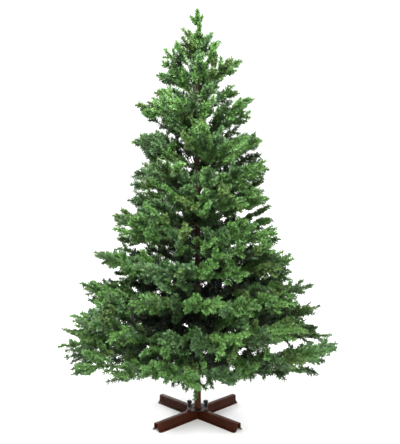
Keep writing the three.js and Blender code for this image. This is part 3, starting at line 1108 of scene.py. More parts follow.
    def twig(self, mass: Mass, stem: BVHTree, root: Vector, slope: float, blade: float,
             i: int, twigs: int) -> None:
        """Grows one twig of a mass, with the sprays along it.

        Args:
            mass: The mass.
            stem: The stem's solid.
            root: Where the twig leaves the stem.
            slope: The stem's pitch.
            blade: The length of a spray.
            i: The twig's number from the pole outwards.
            twigs: How many twigs the stem has.
        """
        key = mass.key + self.twig_key * (i + 1)
        t = (i + self.twig_first) / twigs
        side = 1 if (i + mass.order) % 2 else -1
        upward = 1 if (i + mass.order) % 4 < 2 else -1
        angle = lerp(*self.twig_angles, t) + spread(key, self.twig_jitter)
        azimuth = mass.azimuth + side * math.radians(angle)
        neck = self.neck_length(mass, root, azimuth, blade)
        lift = self.twig_lift[0] + spread(key + 2, self.twig_lift[1])
        pitch = slope + upward * math.asin(lift / (neck + blade))
        roll = side * (self.twig_roll[0] + self.twig_roll[1] * scatter(key + 3))
        spray = self.fit(mass, stem, root, azimuth, pitch, neck, blade, roll)
        if spray is None:
            return
        extra = math.floor(neck / self.side_every + 0.5)
        for j in range(extra):
            share = (j + self.side_first) / (extra + self.side_last)
            start = spray.root + spray.along * (share * (spray.neck + self.side_root * spray.size))
            turn = (1 if j % 2 else -1) * side * math.radians(self.side_angle)
            self.fit(mass, spray.solid, start, azimuth + turn, pitch + self.side_pitch, 0,
                     blade * self.side_size, -roll)

    def leader(self, mass: Mass) -> None:
        """Grows the leader: an upright stem, its prongs and the whorls round its foot.

        Args:
            mass: The leader's mass, with no sprays yet.
        """
        mass.stem = (Vector((0, 0, POLE.top + self.gap)), Vector((0, 0, self.leader_top)))
        stem = self.stem_solid(*mass.stem, POLE.tip_radius, self.stem_tip)
        mass.solids.append(stem)

        def add(z: float, azimuth: float, lean: float, length: float, roll: float) -> None:
            """Adds a spray that leans from upright."""
            pitch = math.radians(90 - lean)
            self.fit(mass, stem, Vector((0, 0, z)), math.radians(azimuth), pitch, 0, length, roll)

        top_roll, prong_roll, whorl_roll = self.leader_rolls
        add(self.leader_top, 0, 0, HEIGHT - self.leader_top, top_roll)
        for z, azimuth, lean, length in self.prongs:
            add(z, azimuth, lean, length, prong_roll)
        for row, (z, count, turn, lean, length, rise) in enumerate(self.whorls):
            for i in range(count):
                roll = whorl_roll + spread(mass.key + self.whorl_key * row + i, self.spray_roll)
                add(z + rise * i, turn + 360 * i / count, lean, length, roll)

    def grow(self) -> list[Mass]:
        """Grows every mass of the crown.

        Returns:
            The masses, tier by tier from the lowest, and the leader.
        """
        masses = []
        for index, tier in enumerate(TIERS):
            for order, azimuth in enumerate(tier.azimuths):
                mass = Mass(
                    f"foliage_{index + 1}_{order + 1}", index, order, azimuth,
                    half=math.pi / tier.count,
                    start=tier.bough + self.gap if tier.bough else POLE.radius(tier.z),
                    key=self.tier_key * (index + 1) + self.order_key * order)
                self.fan(mass)
                masses.append(mass)
        top = Mass("foliage_leader", tier=-1, order=0, azimuth=0.0, half=math.pi, start=0.0,
                   key=self.leader_key)
        self.leader(top)
        masses.append(top)
        return masses


# Foliage: the rule carried on to brush tips and needles


@dataclass(frozen=True)
class NeedleSizes:
    """The cut-film needles: their sizes and spacing, and how they lean along a brush.

    The leans are their angles to the brush at its root, at its shoulder and at its very tip. The
    two thinnings space out the hidden inner brushes.
    """

    length: float = 18.0
    width: float = 3.6
    taper: float = 0.3
    twist: float = 1.2
    spacing: float = 0.72
    shade_thinning: float = 1.9
    shaded_thinning: float = 1.35
    leans: tuple[float, float, float] = (1.12, 1.0, 0.42)
    most: int = 92000
    seed: int = 3

    def apart(self, tint: NeedleTint) -> float:
        """Returns the distance between the needles of a tint along their brushes."""
        thinning = {NeedleTint.SHADE: self.shade_thinning, NeedleTint.DEEP: self.shaded_thinning}
        return self.spacing * thinning.get(tint, 1)


@dataclass(frozen=True)
class GreenOdds:
    """How often each green is dealt to a spray: painted shade inside the crown and low down, painted
    light at its outline and top.
    """

    shade: float = 1.65
    shade_fall: float = 2.3
    fresh: float = 3.0
    lit_low: float = 0.45
    leaf: float = 3.0
    moss: float = 1.6
    sea: float = 2.0
    deep: float = 4.2
    shaded_fall: float = 2.0
    shaded_top: float = 1.4

    def deal(self, dice: random.Random, depth: float, height: float) -> NeedleTint:
        """Deals a green.

        Args:
            dice: Seeded numbers.
            depth: 0 at the pole and 1 at the crown's outline. The darker greens, painted shade, grow
                rarer outwards, and the darkest is never dealt at the outline.
            height: The height as a share of the tree's. Higher up the darker shaded green is rarer
                and the lighter one commoner, as painted shade below and painted light above.

        Returns:
            The tint.
        """
        # painted shade: the near-black green falls to most sprays deep inside the crown
        if dice.random() < self.shade - self.shade_fall * depth:
            return NeedleTint.SHADE
        # painted light and painted shade: the lighter green grows likelier outwards and upwards, the
        # darker one inwards and downwards
        odds = {
            NeedleTint.FRESH: self.fresh * depth * (self.lit_low + height),
            NeedleTint.LEAF: self.leaf,
            NeedleTint.MOSS: self.moss,
            NeedleTint.SEA: self.sea,
            NeedleTint.DEEP: (self.deep - self.shaded_fall * depth) * (self.shaded_top - height),
        }
        return dice.choices(list(odds), list(odds.values()))[0]


@dataclass(frozen=True)
class BrushSizes:
    """One brush: its wire, its steps, and how its blunt tip is made."""

    core: Span = (3.8, 2.2)
    step: float = 42.0
    most_steps: int = 4
    held_back: float = 0.8
    shortest_core: float = 0.3
    blunt: float = 8.0
    least_shoulder: float = 0.6


@dataclass(frozen=True)
class SpraySizes:
    """The brushes that stand for one spray of the rule, in shares of its blade.

    A pair has its root, and its tip's place along and beside the blade.
    """

    needles: Span = (0.92, 1.06)
    bow: float = 0.04
    pairs: tuple[Row, ...] = ((0.1, 0.46, 0.25), (0.42, 0.76, 0.2))
    pair_shift: float = 0.05
    pair_wide: Span = (0.8, 1.04)
    pair_rise: float = 0.12
    pair_bow: float = 0.05
    upright_root: float = 0.2
    upright_shift: float = 0.12
    upright_along: float = 0.3
    upright_sway: float = 0.1
    upright_rise: float = 0.2
    wire: Span = (2.4, 1.9)
    shortest_neck: float = 20.0
    neck_steps: int = 4
    neck_needles: float = 0.9


@dataclass(frozen=True)
class SideSizes:
    """The pairs of shorter brushes beside a middle one.

    A pair has its root along the middle one and its length, in shares of the middle one.
    """

    pairs: tuple[Span, ...]
    angle: float
    turn: float
    shift: float
    needles: float

    def ends(self, root: Vector, line: Vector, across: Vector, pair: Span,
             dice: random.Random) -> list[tuple[Vector, Vector]]:
        """Places the two brushes of a pair.

        Args:
            root: Where the middle brush starts.
            line: The way from there to its end.
            across: The direction to its side.
            pair: The pair's root and length.
            dice: Seeded numbers.

        Returns:
            The start and the end of each.
        """
        share, size = pair
        along = line.normalized()
        ends = []
        for hand in (1, -1):
            angle = self.angle + dice.uniform(-self.turn, self.turn)
            start = root + line * (share + dice.uniform(-self.shift, self.shift))
            aim = along * math.cos(angle) + across * (hand * math.sin(angle))
            ends.append((start, start + aim * (size * line.length)))
        return ends


@dataclass(frozen=True)
class TwigSizes:
    """One finer twig and how it is set on a limb."""

    length: Span = (62.0, 92.0)
    needles: Span = (0.88, 1.04)
    bow: float = 0.05
    sides: SideSizes = SideSizes(((0.25, 0.62),), angle=0.75, turn=0.15, shift=0.08, needles=0.94)
    place: Span = (0.2, 0.8)
    angle: Span = (1.05, 0.5)
    angle_jitter: float = 0.14
    lift: float = 0.45
    turn: float = 2.4
    trials: int = 8
    trial_turn: float = 0.9
    trial_length: float = 0.9
    slack: float = 42.0


@dataclass(frozen=True)
class LimbSizes:
    """The finer limbs that fill each mass, with one number for each tier where there are ten."""

    counts: tuple[int, ...] = (8, 7, 6, 5, 5, 5, 5, 5, 5, 4)
    right_trim: tuple[float, ...] = (0.92, 0.8, 0.8, 0.96, 1, 1, 1, 1, 1, 1)
    off_middle: tuple[float, ...] = (0.14, 0.12, 0.12, 0.1, 0.15, 0.25, 0.35, 0.45, 0.5, 0.45)
    wire: Span = (3.4, 2.0)
    sector: float = 0.92
    sector_jitter: float = 0.08
    rise_step: float = 0.618
    start: float = 22.0
    reach: Span = (0.7, 0.94)
    lift: Span = (-0.4, 1.0)
    steps: int = 8
    clothed_from: int = 5
    clothed_depth: float = 0.6
    clothed_needles: float = 0.95
    tip: Span = (36.0, 92.0)
    bare: float = 0.12
    twig_every: float = 48.0


@dataclass(frozen=True)
class StemSizes:
    """The needles on the masses' stems, and where a spray's depth is read."""

    steps: int = 6
    depth: float = 0.6
    height: float = 0.5
    spray_at: float = 0.8
    leader_needles: float = 0.4


@dataclass(frozen=True)
class LeaderSizes:
    """The leader's twigs, its prongs over a bare piece of stem, and its tip."""

    foot: float = 1752.0
    head: float = 1880.0
    twigs: int = 13
    prong_floor: float = 1950.0
    prong_foot: float = 2014.0
    prong_head: float = 2070.0
    prong_drop: float = 0.5
    prong_spread: float = 0.68
    prong_needles: float = 0.86
    tip_bare: float = 0.2


@dataclass(frozen=True)
class EdgeSizes:
    """The crown's lower edge, which rises outwards and, in a sector at the front, forwards.

    The limbs stay clear of it. From the distance deepest behind its outline inwards, sprays and twigs
    get only the darkest green, as painted shade.
    """

    foot: float = 130.0
    rise: float = 0.28
    front: float = 0.26
    sector: float = 0.55
    clear: float = 26.0
    deepest: float = 500.0


@dataclass(frozen=True)
class SkirtSizes:
    """The twigs that hang under the lowest tier, round the pole and at the front.

    A drooping twig has its turn in degrees, the radius of its root, and its tip's radius and height.
    """

    count: int = 11
    top: float = 300.0
    radius: float = 84.0
    foot: float = 212.0
    root: float = 0.3
    root_drop: float = 60.0
    tip: Span = (0.7, 1.2)
    tip_rise: Span = (-12.0, 30.0)
    depth: float = 0.75
    height: float = 0.1
    drooping: tuple[tuple[float, float, float, float], ...] = (
        (268, 232, 300, 188), (257, 240, 290, 232), (284, 230, 300, 238))
    drooping_rise: float = 10.0
    drooping_height: float = 0.5


@dataclass(frozen=True)
class FingerSizes:
    """The long outer sprays that break the crown's outline.

    A finger has its turn in degrees, its root's radius and height, and its tip's radius and height.
    """

    bow: float = 0.03
    roll: Span = (0.5, 1.3)
    sides: SideSizes = SideSizes(
        ((0.16, 0.44), (0.4, 0.38), (0.62, 0.28)), angle=0.58, turn=0.1, shift=0.05, needles=0.9)
    left: tuple[Route, ...] = (
        (178, 90, 1740, 213, 1768), (184, 100, 1718, 195, 1742), (180, 110, 1650, 224, 1678),
        (176, 150, 1575, 325, 1618), (188, 180, 1560, 285, 1572), (184, 150, 1397, 342, 1424),
        (172, 170, 1420, 297, 1463), (180, 180, 1325, 274, 1363), (178, 200, 1285, 348, 1244),
        (182, 230, 1105, 362, 1128), (176, 220, 1190, 355, 1210), (185, 290, 1000, 439, 1051),
        (176, 300, 900, 426, 929), (181, 520, 300, 668, 243), (186, 500, 280, 655, 236))
    right: tuple[Route, ...] = (
        (2, 110, 1790, 234, 1841), (-6, 90, 1758, 202, 1785), (5, 110, 1655, 219, 1678),
        (-4, 180, 1610, 292, 1641), (5, 180, 1440, 341, 1434), (-6, 215, 1320, 330, 1363),
        (3, 250, 1297, 376, 1285), (0, 260, 1110, 373, 1138), (6, 290, 1010, 404, 1025),
        (-5, 310, 912, 430, 927), (2, 350, 770, 476, 793), (-3, 470, 550, 610, 571),
        (4, 500, 420, 641, 458), (-2, 590, 352, 726, 368), (3, 560, 292, 682, 275),
        (-5, 520, 270, 631, 233))
    front: tuple[Route, ...] = (
        (235, 400, 470, 548, 510), (248, 380, 490, 545, 535), (257, 390, 450, 533, 490),
        (264, 390, 500, 533, 535), (243, 400, 415, 545, 455), (227, 410, 440, 552, 480),
        (287, 390, 440, 535, 480), (278, 390, 505, 530, 545), (252, 360, 395, 520, 420),
        (257, 290, 590, 445, 615), (289, 290, 550, 445, 585), (297, 300, 600, 450, 620),
        (295, 40, 1530, 175, 1565), (205, 60, 1490, 190, 1530), (262, 40, 1555, 160, 1600))


@dataclass
class Foliage:
    """Dresses the masses with brush tips, needles and wrapped wire."""

    seed: int = 11
    needle: NeedleSizes = NeedleSizes()
    greens: GreenOdds = GreenOdds()
    brushes: BrushSizes = BrushSizes()
    sprays: SpraySizes = SpraySizes()
    twigs: TwigSizes = TwigSizes()
    limbs: LimbSizes = LimbSizes()
    stems: StemSizes = StemSizes()
    top: LeaderSizes = LeaderSizes()
    edge: EdgeSizes = EdgeSizes()
    skirt: SkirtSizes = SkirtSizes()
    fingers: FingerSizes = FingerSizes()
    banks: dict[NeedleTint, list[LineBank]] = field(default_factory=dict)
    wires: LineBank = field(default_factory=LineBank)

    def bank(self, tint: NeedleTint) -> LineBank:
        """Finds the bank of a tint that still has room, so that no piece grows too large.

        Args:
            tint: The tint.

        Returns:
            The bank.
        """
        banks = self.banks.setdefault(tint, [LineBank()])
        if banks[-1].length / self.needle.apart(tint) > self.needle.most:
            banks.append(LineBank())
        return banks[-1]

    def lowest(self, point: Vector) -> float:
        """Finds the crown's lower edge under a point.

        Args:
            point: The point.

        Returns:
            The edge's height there.
        """
        edge = self.edge
        radius = math.hypot(point.x, point.y)
        forwards = max(0.0, -point.y - edge.sector * radius)
        return edge.foot + edge.rise * radius + edge.front * forwards

    def wire(self, path: list[Vector], radii: Span) -> None:
        """Adds a wire whose radius goes from the first of two to the second along a path."""
        last = len(path) - 1
        self.wires.add(path, thick=[lerp(*radii, i / last) * MM for i in range(last + 1)])

    def brush(self, start: Vector, end: Vector, tint: NeedleTint, reach: float,
              bow: Vector = Vector()) -> None:
        """Adds one brush: a thin wire with needles round it.

        Args:
            start: Where it leaves its twig.
            end: Where its needles end.
            tint: Its green.
            reach: The length of its needles.
            bow: How far its middle stands off the straight line.
        """
        sizes = self.brushes
        length = (end - start).length
        held_back = sizes.held_back * reach / max(length, 1)
        tip = start.lerp(end, max(sizes.shortest_core, 1 - held_back))
        steps = max(1, min(sizes.most_steps, round(length / sizes.step)))
        shoulder = max(sizes.least_shoulder, 1 - sizes.blunt / length)
        shares = [i / steps for i in range(steps)] + [shoulder, 1]
        path = [start.lerp(tip, t) + bow * (4 * t * (1 - t)) for t in shares]
        self.wire(path, sizes.core)
        first, last, point = self.needle.leans
        leans = [lerp(first, last, t) for t in shares[:-1]] + [point]
        self.bank(tint).add(path, reach=[reach * MM] * len(path), lean=leans)

    def full_brush(self, start: Vector, end: Vector, tint: NeedleTint, reach: float) -> None:
        """Adds two brushes in one, the second of them in leaf green."""
        for green in (tint, NeedleTint.LEAF):
            self.brush(start, end, green, reach)

    def clothe(self, path: list[Vector], tint: NeedleTint, reach: float) -> None:
        """Sets needles of a green and a length along a twig or limb itself."""
        count = len(path)
        self.bank(tint).add(path, reach=[reach * MM] * count, lean=[self.needle.leans[0]] * count)

    def spray(self, spray: Spray, dice: random.Random, depth: float) -> None:
        """Dresses one spray of the rule: a middle brush, pairs beside it and one over or under it.

        Args:
            spray: The spray.
            dice: The mass's seeded numbers.
            depth: 0 at the pole and 1 at the crown's outline.
        """
        sizes = self.sprays
        tint = self.greens.deal(dice, depth, spray.root.z / HEIGHT)
        reach = self.needle.length * dice.uniform(*sizes.needles)
        if spray.root.z >= RULE.leader_top:
            self.tip(spray, tint)
            return
        bow = spray.over * (spray.size * spread(spray.key, sizes.bow))
        self.brush(spray.at(0), spray.at(1), tint, reach, bow)
        for root, x, y in sizes.pairs:
            for hand in (1, -1):
                shift = dice.uniform(-sizes.pair_shift, sizes.pair_shift)
                wide = hand * y * dice.uniform(*sizes.pair_wide)
                tip = spray.at(x + shift, wide, dice.uniform(-sizes.pair_rise, sizes.pair_rise))
                start = spray.at(root + shift)
                if tip.z > self.lowest(tip):
                    bow = spray.side * (hand * sizes.pair_bow * (tip - start).length)
                    self.brush(start, tip, tint, reach, bow)
        start = sizes.upright_root + dice.uniform(-sizes.upright_shift, sizes.upright_shift)
        rise = sizes.upright_rise * dice.choice((1, -1))
        sway = dice.uniform(-sizes.upright_sway, sizes.upright_sway)
        end = spray.at(start + sizes.upright_along, sway, rise)
        self.brush(spray.at(start), end, tint, reach)
        if spray.neck > sizes.shortest_neck:
            path = divided(spray.root, spray.at(0), sizes.neck_steps)
            self.wire(path, sizes.wire)
            self.clothe(path[1:], tint, reach * sizes.neck_needles)

    def tip(self, spray: Spray, tint: NeedleTint) -> None:
        """Dresses the spray at the very top, as two brushes in one over a bare wire.

        Args:
            spray: The spray.
            tint: The green dealt to it.
        """
        bare = spray.at(self.top.tip_bare)
        self.full_brush(bare, spray.at(1), tint, self.needle.length)
        self.wire([spray.at(0), bare], self.limbs.wire)

    def prong(self, spray: Spray) -> None:
        """Dresses one prong of the top, as two brushes in one.

        Args:
            spray: The rule's spray for it.
        """
        top = self.top
        start = Vector((0, 0, top.prong_foot))
        end = spray.at(1) * top.prong_spread
        end.z = top.prong_head - top.prong_drop * (RULE.leader_top - spray.root.z)
        # painted light: the top's prongs always get the lighter green
        self.full_brush(start, end, NeedleTint.FRESH, self.needle.length * top.prong_needles)

    def twig(self, root: Vector, tip: Vector, dice: random.Random, tint: NeedleTint) -> None:
        """Adds one finer twig: a middle brush with shorter ones beside it.

        Args:
            root: Where it leaves its limb.
            tip: Its outer end.
            dice: The mass's seeded numbers.
            tint: Its green.
        """
        sizes = self.twigs
        line = tip - root
        along = line.normalized()
        across = Quaternion(along, dice.uniform(0, math.tau)) @ along.orthogonal().normalized()
        reach = self.needle.length * dice.uniform(*sizes.needles)
        self.brush(root, tip, tint, reach, across * (sizes.bow * line.length))
        for pair in sizes.sides.pairs:
            for start, end in sizes.sides.ends(root, line, across, pair, dice):
                if end.z > min(tip.z, self.lowest(end)):
                    self.brush(start, end, tint, reach * sizes.sides.needles)

    def depth(self, mass: Mass, point: Vector) -> float:
        """Tells how far out a point is.

        Args:
            mass: The mass that it is in.
            point: The point.

        Returns:
            1 at the crown's outline, and 0 from the depth where only the darkest green is dealt, as
            painted shade.
        """
        if mass.tier < 0:
            return 1.0
        outline = RULE.reach_at(TIERS[mass.tier], math.atan2(point.y, point.x))
        inside = outline - math.hypot(point.x, point.y)
        return min(1.0, max(0.0, 1 - inside / self.edge.deepest))

    def twigs_along(self, mass: Mass, path: list[Vector], count: int, dice: random.Random) -> None:
        """Adds finer twigs round a path, where the mass's space holds them.

        Args:
            mass: The mass.
            path: Points along the limb.
            count: How many twigs there are.
            dice: The mass's seeded numbers.
        """
        sizes = self.twigs
        roll = dice.uniform(0, math.tau)
        last = len(path) - 1
        for i in range(count):
            t = (i + dice.uniform(*sizes.place)) / count
            step = min(last - 1, int(t * last))
            root = path[step].lerp(path[step + 1], t * last - step)
            along = (path[step + 1] - path[step]).normalized()
            side = RULE.across(along)
            length = dice.uniform(*sizes.length)
            for trial in range(sizes.trials):
                turn = roll + sizes.turn * i + sizes.trial_turn * trial
                out = Quaternion(along, turn) @ side
                jitter = dice.uniform(-sizes.angle_jitter, sizes.angle_jitter)
                angle = lerp(*sizes.angle, t) + jitter
                lift = Vector((0, 0, dice.uniform(0, 2 * sizes.lift)))
                aim = along * math.cos(angle) + out * math.sin(angle) + lift
                tip = root + aim.normalized() * length
                if RULE.holds(mass, tip, sizes.slack) and tip.z > self.lowest(tip):
                    tint = self.greens.deal(dice, self.depth(mass, tip), tip.z / HEIGHT)
                    self.twig(root, tip, dice, tint)
                    break
                length *= sizes.trial_length

    def limb(self, mass: Mass, number: int, count: int, dice: random.Random) -> None:
        """Adds one finer limb that fills part of a mass's sector and layer.

        Args:
            mass: The mass.
            number: The limb's number.
            count: How many limbs the mass has.
            dice: The mass's seeded numbers.
        """
        sizes = self.limbs
        across = ((number + 0.5) / count * 2 - 1) * sizes.sector
        across += dice.uniform(-sizes.sector_jitter, sizes.sector_jitter)
        azimuth = mass.azimuth + mass.half * across
        rise = (sizes.rise_step * number + dice.random()) % 1
        reach = self.local_reach(mass.tier, azimuth, rise) * dice.uniform(*sizes.reach)
        reach *= 1 - 2 * sizes.off_middle[mass.tier] * abs(rise - 0.5)
        lift = dice.uniform(*sizes.lift) * (1 - mass.tier / len(TIERS))
        path = []
        for i in range(sizes.steps + 1):
            t = i / sizes.steps
            radius = lerp(sizes.start, reach, t)
            low, high = RULE.layer(mass.tier, radius)
            share = lerp(0.5, rise, min(1, 2 * t)) + lift * max(0, t - 0.5)
            point = polar(radius, azimuth, lerp(low, high, share))
            point.z = max(point.z, self.lowest(point) + self.edge.clear)
            path.append(point)
        self.wire(path, sizes.wire)
        end = path[-1]
        tint = self.greens.deal(dice, sizes.clothed_depth, end.z / HEIGHT)
        self.clothe(path[sizes.clothed_from:], tint, self.needle.length * sizes.clothed_needles)
        along = (end - path[-2]).normalized()
        shortest, longest = sizes.tip
        left = min(longest, max(shortest, RULE.reach_at(TIERS[mass.tier], azimuth) - reach))
        self.twig(end, end + along * left, dice, self.greens.deal(dice, 1.0, end.z / HEIGHT))
        twigs = round((reach - sizes.start) * (1 - sizes.bare) / sizes.twig_every)
        self.twigs_along(mass, path[round(sizes.steps * sizes.bare):], twigs, dice)

    def local_reach(self, tier: int, azimuth: float, rise: float) -> float:
        """Finds how far the limbs reach, less in the upper half of a layer, as the tier above does.

        Args:
            tier: The tier's number.
            azimuth: The azimuth.
            rise: The height as a share of the tier's layer.

        Returns:
            The reach.
        """
        trim = lerp(1, self.limbs.right_trim[tier], max(0.0, math.cos(azimuth)))
        here = RULE.reach_at(TIERS[tier], azimuth) * trim
        if tier + 1 == len(TIERS):
            return here
        over = RULE.reach_at(TIERS[tier + 1], azimuth)
        return min(here, lerp(here, over, max(0.0, rise - 0.5)))

    def dress(self, masses: list[Mass]) -> None:
        """Dresses every mass of the crown.

        Args:
            masses: The masses that the rule grew.
        """
        for mass in masses:
            dice = random.Random(int(mass.key) + self.seed)
            tall = mass.tier < 0
            self.stem(mass, dice, self.stems.leader_needles if tall else 1)
            for spray in mass.sprays:
                if tall and self.top.prong_floor < spray.root.z < RULE.leader_top:
                    self.prong(spray)
                else:
                    self.spray(spray, dice, self.depth(mass, spray.at(self.stems.spray_at)))
            if tall:
                path = [Vector((0, 0, self.top.foot)), Vector((0, 0, self.top.head))]
                self.twigs_along(mass, path, self.top.twigs, dice)
            else:
                count = self.limbs.counts[mass.tier]
                for number in range(count):
                    self.limb(mass, number, count, dice)
        self.hang()

    def stem(self, mass: Mass, dice: random.Random, share: float) -> None:
        """Dresses a mass's stem.

        Args:
            mass: The mass.
            dice: The mass's seeded numbers.
            share: The length of its needles as a share of the others'.
        """
        path = divided(*mass.stem, self.stems.steps)
        self.wire(path, self.limbs.wire)
        tint = self.greens.deal(dice, self.stems.depth, self.stems.height)
        self.clothe(path, tint, self.needle.length * share)

    def hang(self) -> None:
        """Adds the twigs under the lowest tier and the long outer sprays."""
        skirt = self.skirt
        dice = random.Random(skirt.count)
        for azimuth in around(skirt.count):
            root_z = skirt.top - dice.uniform(0, skirt.root_drop)
            root = polar(skirt.root * skirt.radius, azimuth, root_z)
            radius = skirt.radius * dice.uniform(*skirt.tip)
            tip = polar(radius, azimuth, skirt.foot + dice.uniform(*skirt.tip_rise))
            self.twig(root, tip, dice, self.greens.deal(dice, skirt.depth, skirt.height))
        for turn, near, far, low in skirt.drooping:
            azimuth = math.radians(turn)
            root = polar(near, azimuth, skirt.top + skirt.drooping_rise)
            tint = self.greens.deal(dice, 1.0, skirt.drooping_height)
            self.twig(root, polar(far, azimuth, low), dice, tint)
        fingers = self.fingers
        for turn, near, foot, far, head in fingers.left + fingers.right + fingers.front:
            azimuth = math.radians(turn)
            self.finger(polar(near, azimuth, foot), polar(far, azimuth, head), dice)

    def finger(self, root: Vector, tip: Vector, dice: random.Random) -> None:
        """Adds one long outer spray: a middle brush with pairs of shorter ones that lean forwards.

        Args:
            root: Where it leaves its limb.
            tip: Its outer end.
            dice: The outer twigs' own seeded numbers.
        """
        sizes = self.fingers
        line = tip - root
        along = line.normalized()
        green = self.greens.deal(dice, 1.0, tip.z / HEIGHT)
        self.wire([root, tip], self.sprays.wire)
        bow = Vector((0, 0, sizes.bow * line.length))
        self.brush(root, tip, green, self.needle.length, bow)
        for pair in sizes.sides.pairs:
            across = Quaternion(along, dice.uniform(*sizes.roll)) @ RULE.across(along)
            for start, end in sizes.sides.ends(root, line, across, pair, dice):
                self.brush(start, end, green, self.needle.length * sizes.sides.needles)

    def pieces(self, wrap: Material) -> list[Object]:
        """Grows the needles and wires as plain meshes.

        Args:
            wrap: The wires' material.

        Returns:
            The pieces.
        """
        made = []
        growth = needle_tree(NeedleChance())
        for tint, banks in self.banks.items():
            finish = NeedleFinish(tint).build()
            for number, bank in enumerate(banks, 1):
                name = f"needles_{tint.name.lower()}_{number}"
                made.append(grown(name, bank.mesh(name), growth, {
                    "Spacing": self.needle.apart(tint) * MM,
                    "Width": self.needle.width * MM,
                    "Taper": self.needle.taper,
                    "Twist": self.needle.twist,
                    "Seed": len(made) + self.needle.seed,
                    "Finish": finish,
                }))
        wires = self.wires.mesh("twig_wires")
        return [*made, grown("twig_wires", wires, wire_tree(), {"Sides": 3, "Finish": wrap})]


RULE = CrownRule()


# Boughs and pole


@dataclass
class Boughs:
    """The wrapped wires that carry the two lowest tiers."""

    root_radius: float = 5.2
    tip_radius: float = 3.9
    wrap_pitch: float = 7.0
    wrap_depth: float = 0.7
    sides: int = 12
    step: float = 1.6
    sunk: float = 1.0

    def bough(self, tier: Tier, azimuth: float, maker: MeshMaker) -> None:
        """Adds one bough with the spiral relief of its wrapping.

        Args:
            tier: The tier that it carries.
            azimuth: Where it heads.
            maker: The mesh that it goes into.
        """
        seat = POLE.seat(tier)
        root = polar(seat - self.sunk, azimuth, POLE.seat_height(tier))
        tip = polar(tier.bough, azimuth, RULE.middle(tier, tier.bough))
        crest = polar((seat + tier.bough) / 2, azimuth, RULE.middle(tier, tier.bough / 2))
        steps = int((tip - root).length / self.step)
        path, radii = [], []
        for i in range(steps + 1):
            t = i / steps
            path.append(root * (1 - t) ** 2 + crest * (2 * t * (1 - t)) + tip * t ** 2)
            base = lerp(self.root_radius, self.tip_radius, t)
            turns = i * self.step / self.wrap_pitch
            phases = ((turns - k / self.sides) % 1 for k in range(self.sides))
            radii.append([base - self.wrap_depth * phase for phase in phases])
        maker.limb(path, radii)

    def build(self, wrap: Material) -> Object:
        """Builds all boughs as one piece.

        Args:
            wrap: Their material.

        Returns:
            The piece.
        """
        maker = MeshMaker()
        for tier in (t for t in TIERS if t.bough):
            for azimuth in tier.azimuths:
                self.bough(tier, azimuth, maker)
        return maker.piece("boughs", wrap)


@dataclass
class Pole:
    """The steel pole with its sleeves, its collars, and the two cheeks and the pin of each branch.

    A collar's edges are cut off by the lip. A sleeve's ramp and rolled rim are rows of the
    distance over the sleeve, the rise over its lower edge or its top, and the rub.
    """

    sides: int = 40
    lip: float = 0.8
    lip_rub: Span = (0.5, 0.8)
    sleeve_ramp: tuple[Row, ...] = ((-0.4, 0.4, 0.6), (0, 2, 0.2))
    sleeve_rim: tuple[Row, ...] = ((0, -5, 0), (0.5, -3, 0.5), (0, 0, 0.8))
    tip_round: float = 1.0
    tip_rub: float = 0.3
    cheek_thick: float = 0.75
    cheek_reach: float = 7.0
    cheek_high: float = 6.0
    cheek_off: float = 6.2
    cheek_sunk: float = 2.0
    pin: float = 1.8
    pin_past: float = 1.6
    pin_out: float = 1.0

    def collar(self, radius: float, wide: float, z: float) -> list[Row]:
        """Returns a collar's outline.

        Args:
            radius: The pole's radius there.
            wide: The collar's radius.
            z: The height of its middle.

        Returns:
            Its rows of radius, height and rub.
        """
        half, lip = POLE.collar_high / 2, self.lip
        edge, face = self.lip_rub
        return [(radius, z - half, 0), (wide - lip, z - half, edge), (wide, z - half + lip, face),
                (wide, z + half - lip, face), (wide - lip, z + half, edge), (radius, z + half, 0)]

    def profile(self) -> list[Row]:
        """Returns the pole's outline.

        Returns:
            Its rows of radius, height and rub, from the foot up.
        """
        collars = [(POLE.seat_height(t), POLE.seat(t)) for t in TIERS if t.collar]
        rows = [(CLOSED, POLE.foot, 0)]
        base = POLE.foot
        for top, radius in POLE.sections:
            rows.append((radius, base, 0))
            for z, wide in collars:
                if base < z < top:
                    rows += self.collar(radius, wide, z)
            wide = radius + POLE.sleeve_wall
            low = top - POLE.sleeve_high
            rows.append((radius, low, 0))
            rows += moved(self.sleeve_ramp, wide, low)
            rows += moved(self.sleeve_rim, wide, top)
            base = top
        rows.append((POLE.tip_low, base, 0))
        rows.append((POLE.tip_radius, POLE.top - self.tip_round, self.tip_rub))
        rows.append((CLOSED, POLE.top, 0))
        return rows

    def build(self, paint: Material) -> Object:
        """Builds the pole as one piece.

        Args:
            paint: Its material.

        Returns:
            The piece.
        """
        maker = MeshMaker()
        maker.turned(self.profile(), self.sides)
        cheek = Vector((self.cheek_reach, self.cheek_thick, self.cheek_high))
        pin = Vector((self.pin, self.cheek_off + self.pin_past, self.pin))
        for tier in (t for t in TIERS if t.collar):
            z = POLE.seat_height(tier)
            hinge = POLE.seat(tier) + self.cheek_reach
            for azimuth in tier.azimuths:
                sideways = polar(1, azimuth + math.pi / 2, 0)
                middle = polar(hinge - self.cheek_sunk, azimuth, z)
                for hand in (1, -1):
                    maker.box(middle + sideways * (hand * self.cheek_off), cheek, azimuth)
                maker.box(polar(hinge + self.pin_out, azimuth, z), pin, azimuth)
        return maker.piece("pole_tubes", paint)


# Stand


class Tool(Enum):
    """What holds a leg to the hub: a lobed knob at the back, a hexagon bolt at the front."""

    KNOB = "knob"
    BOLT = "bolt"


@dataclass(frozen=True)
class Turning:
    """A turned solid over the hub's plate.

    Its rows are the radius, the rise over the seat and the rub of its rings.
    """

    rows: tuple[Row, ...]
    sides: int
    lobes: int = 0
    hollow: float = 0.0


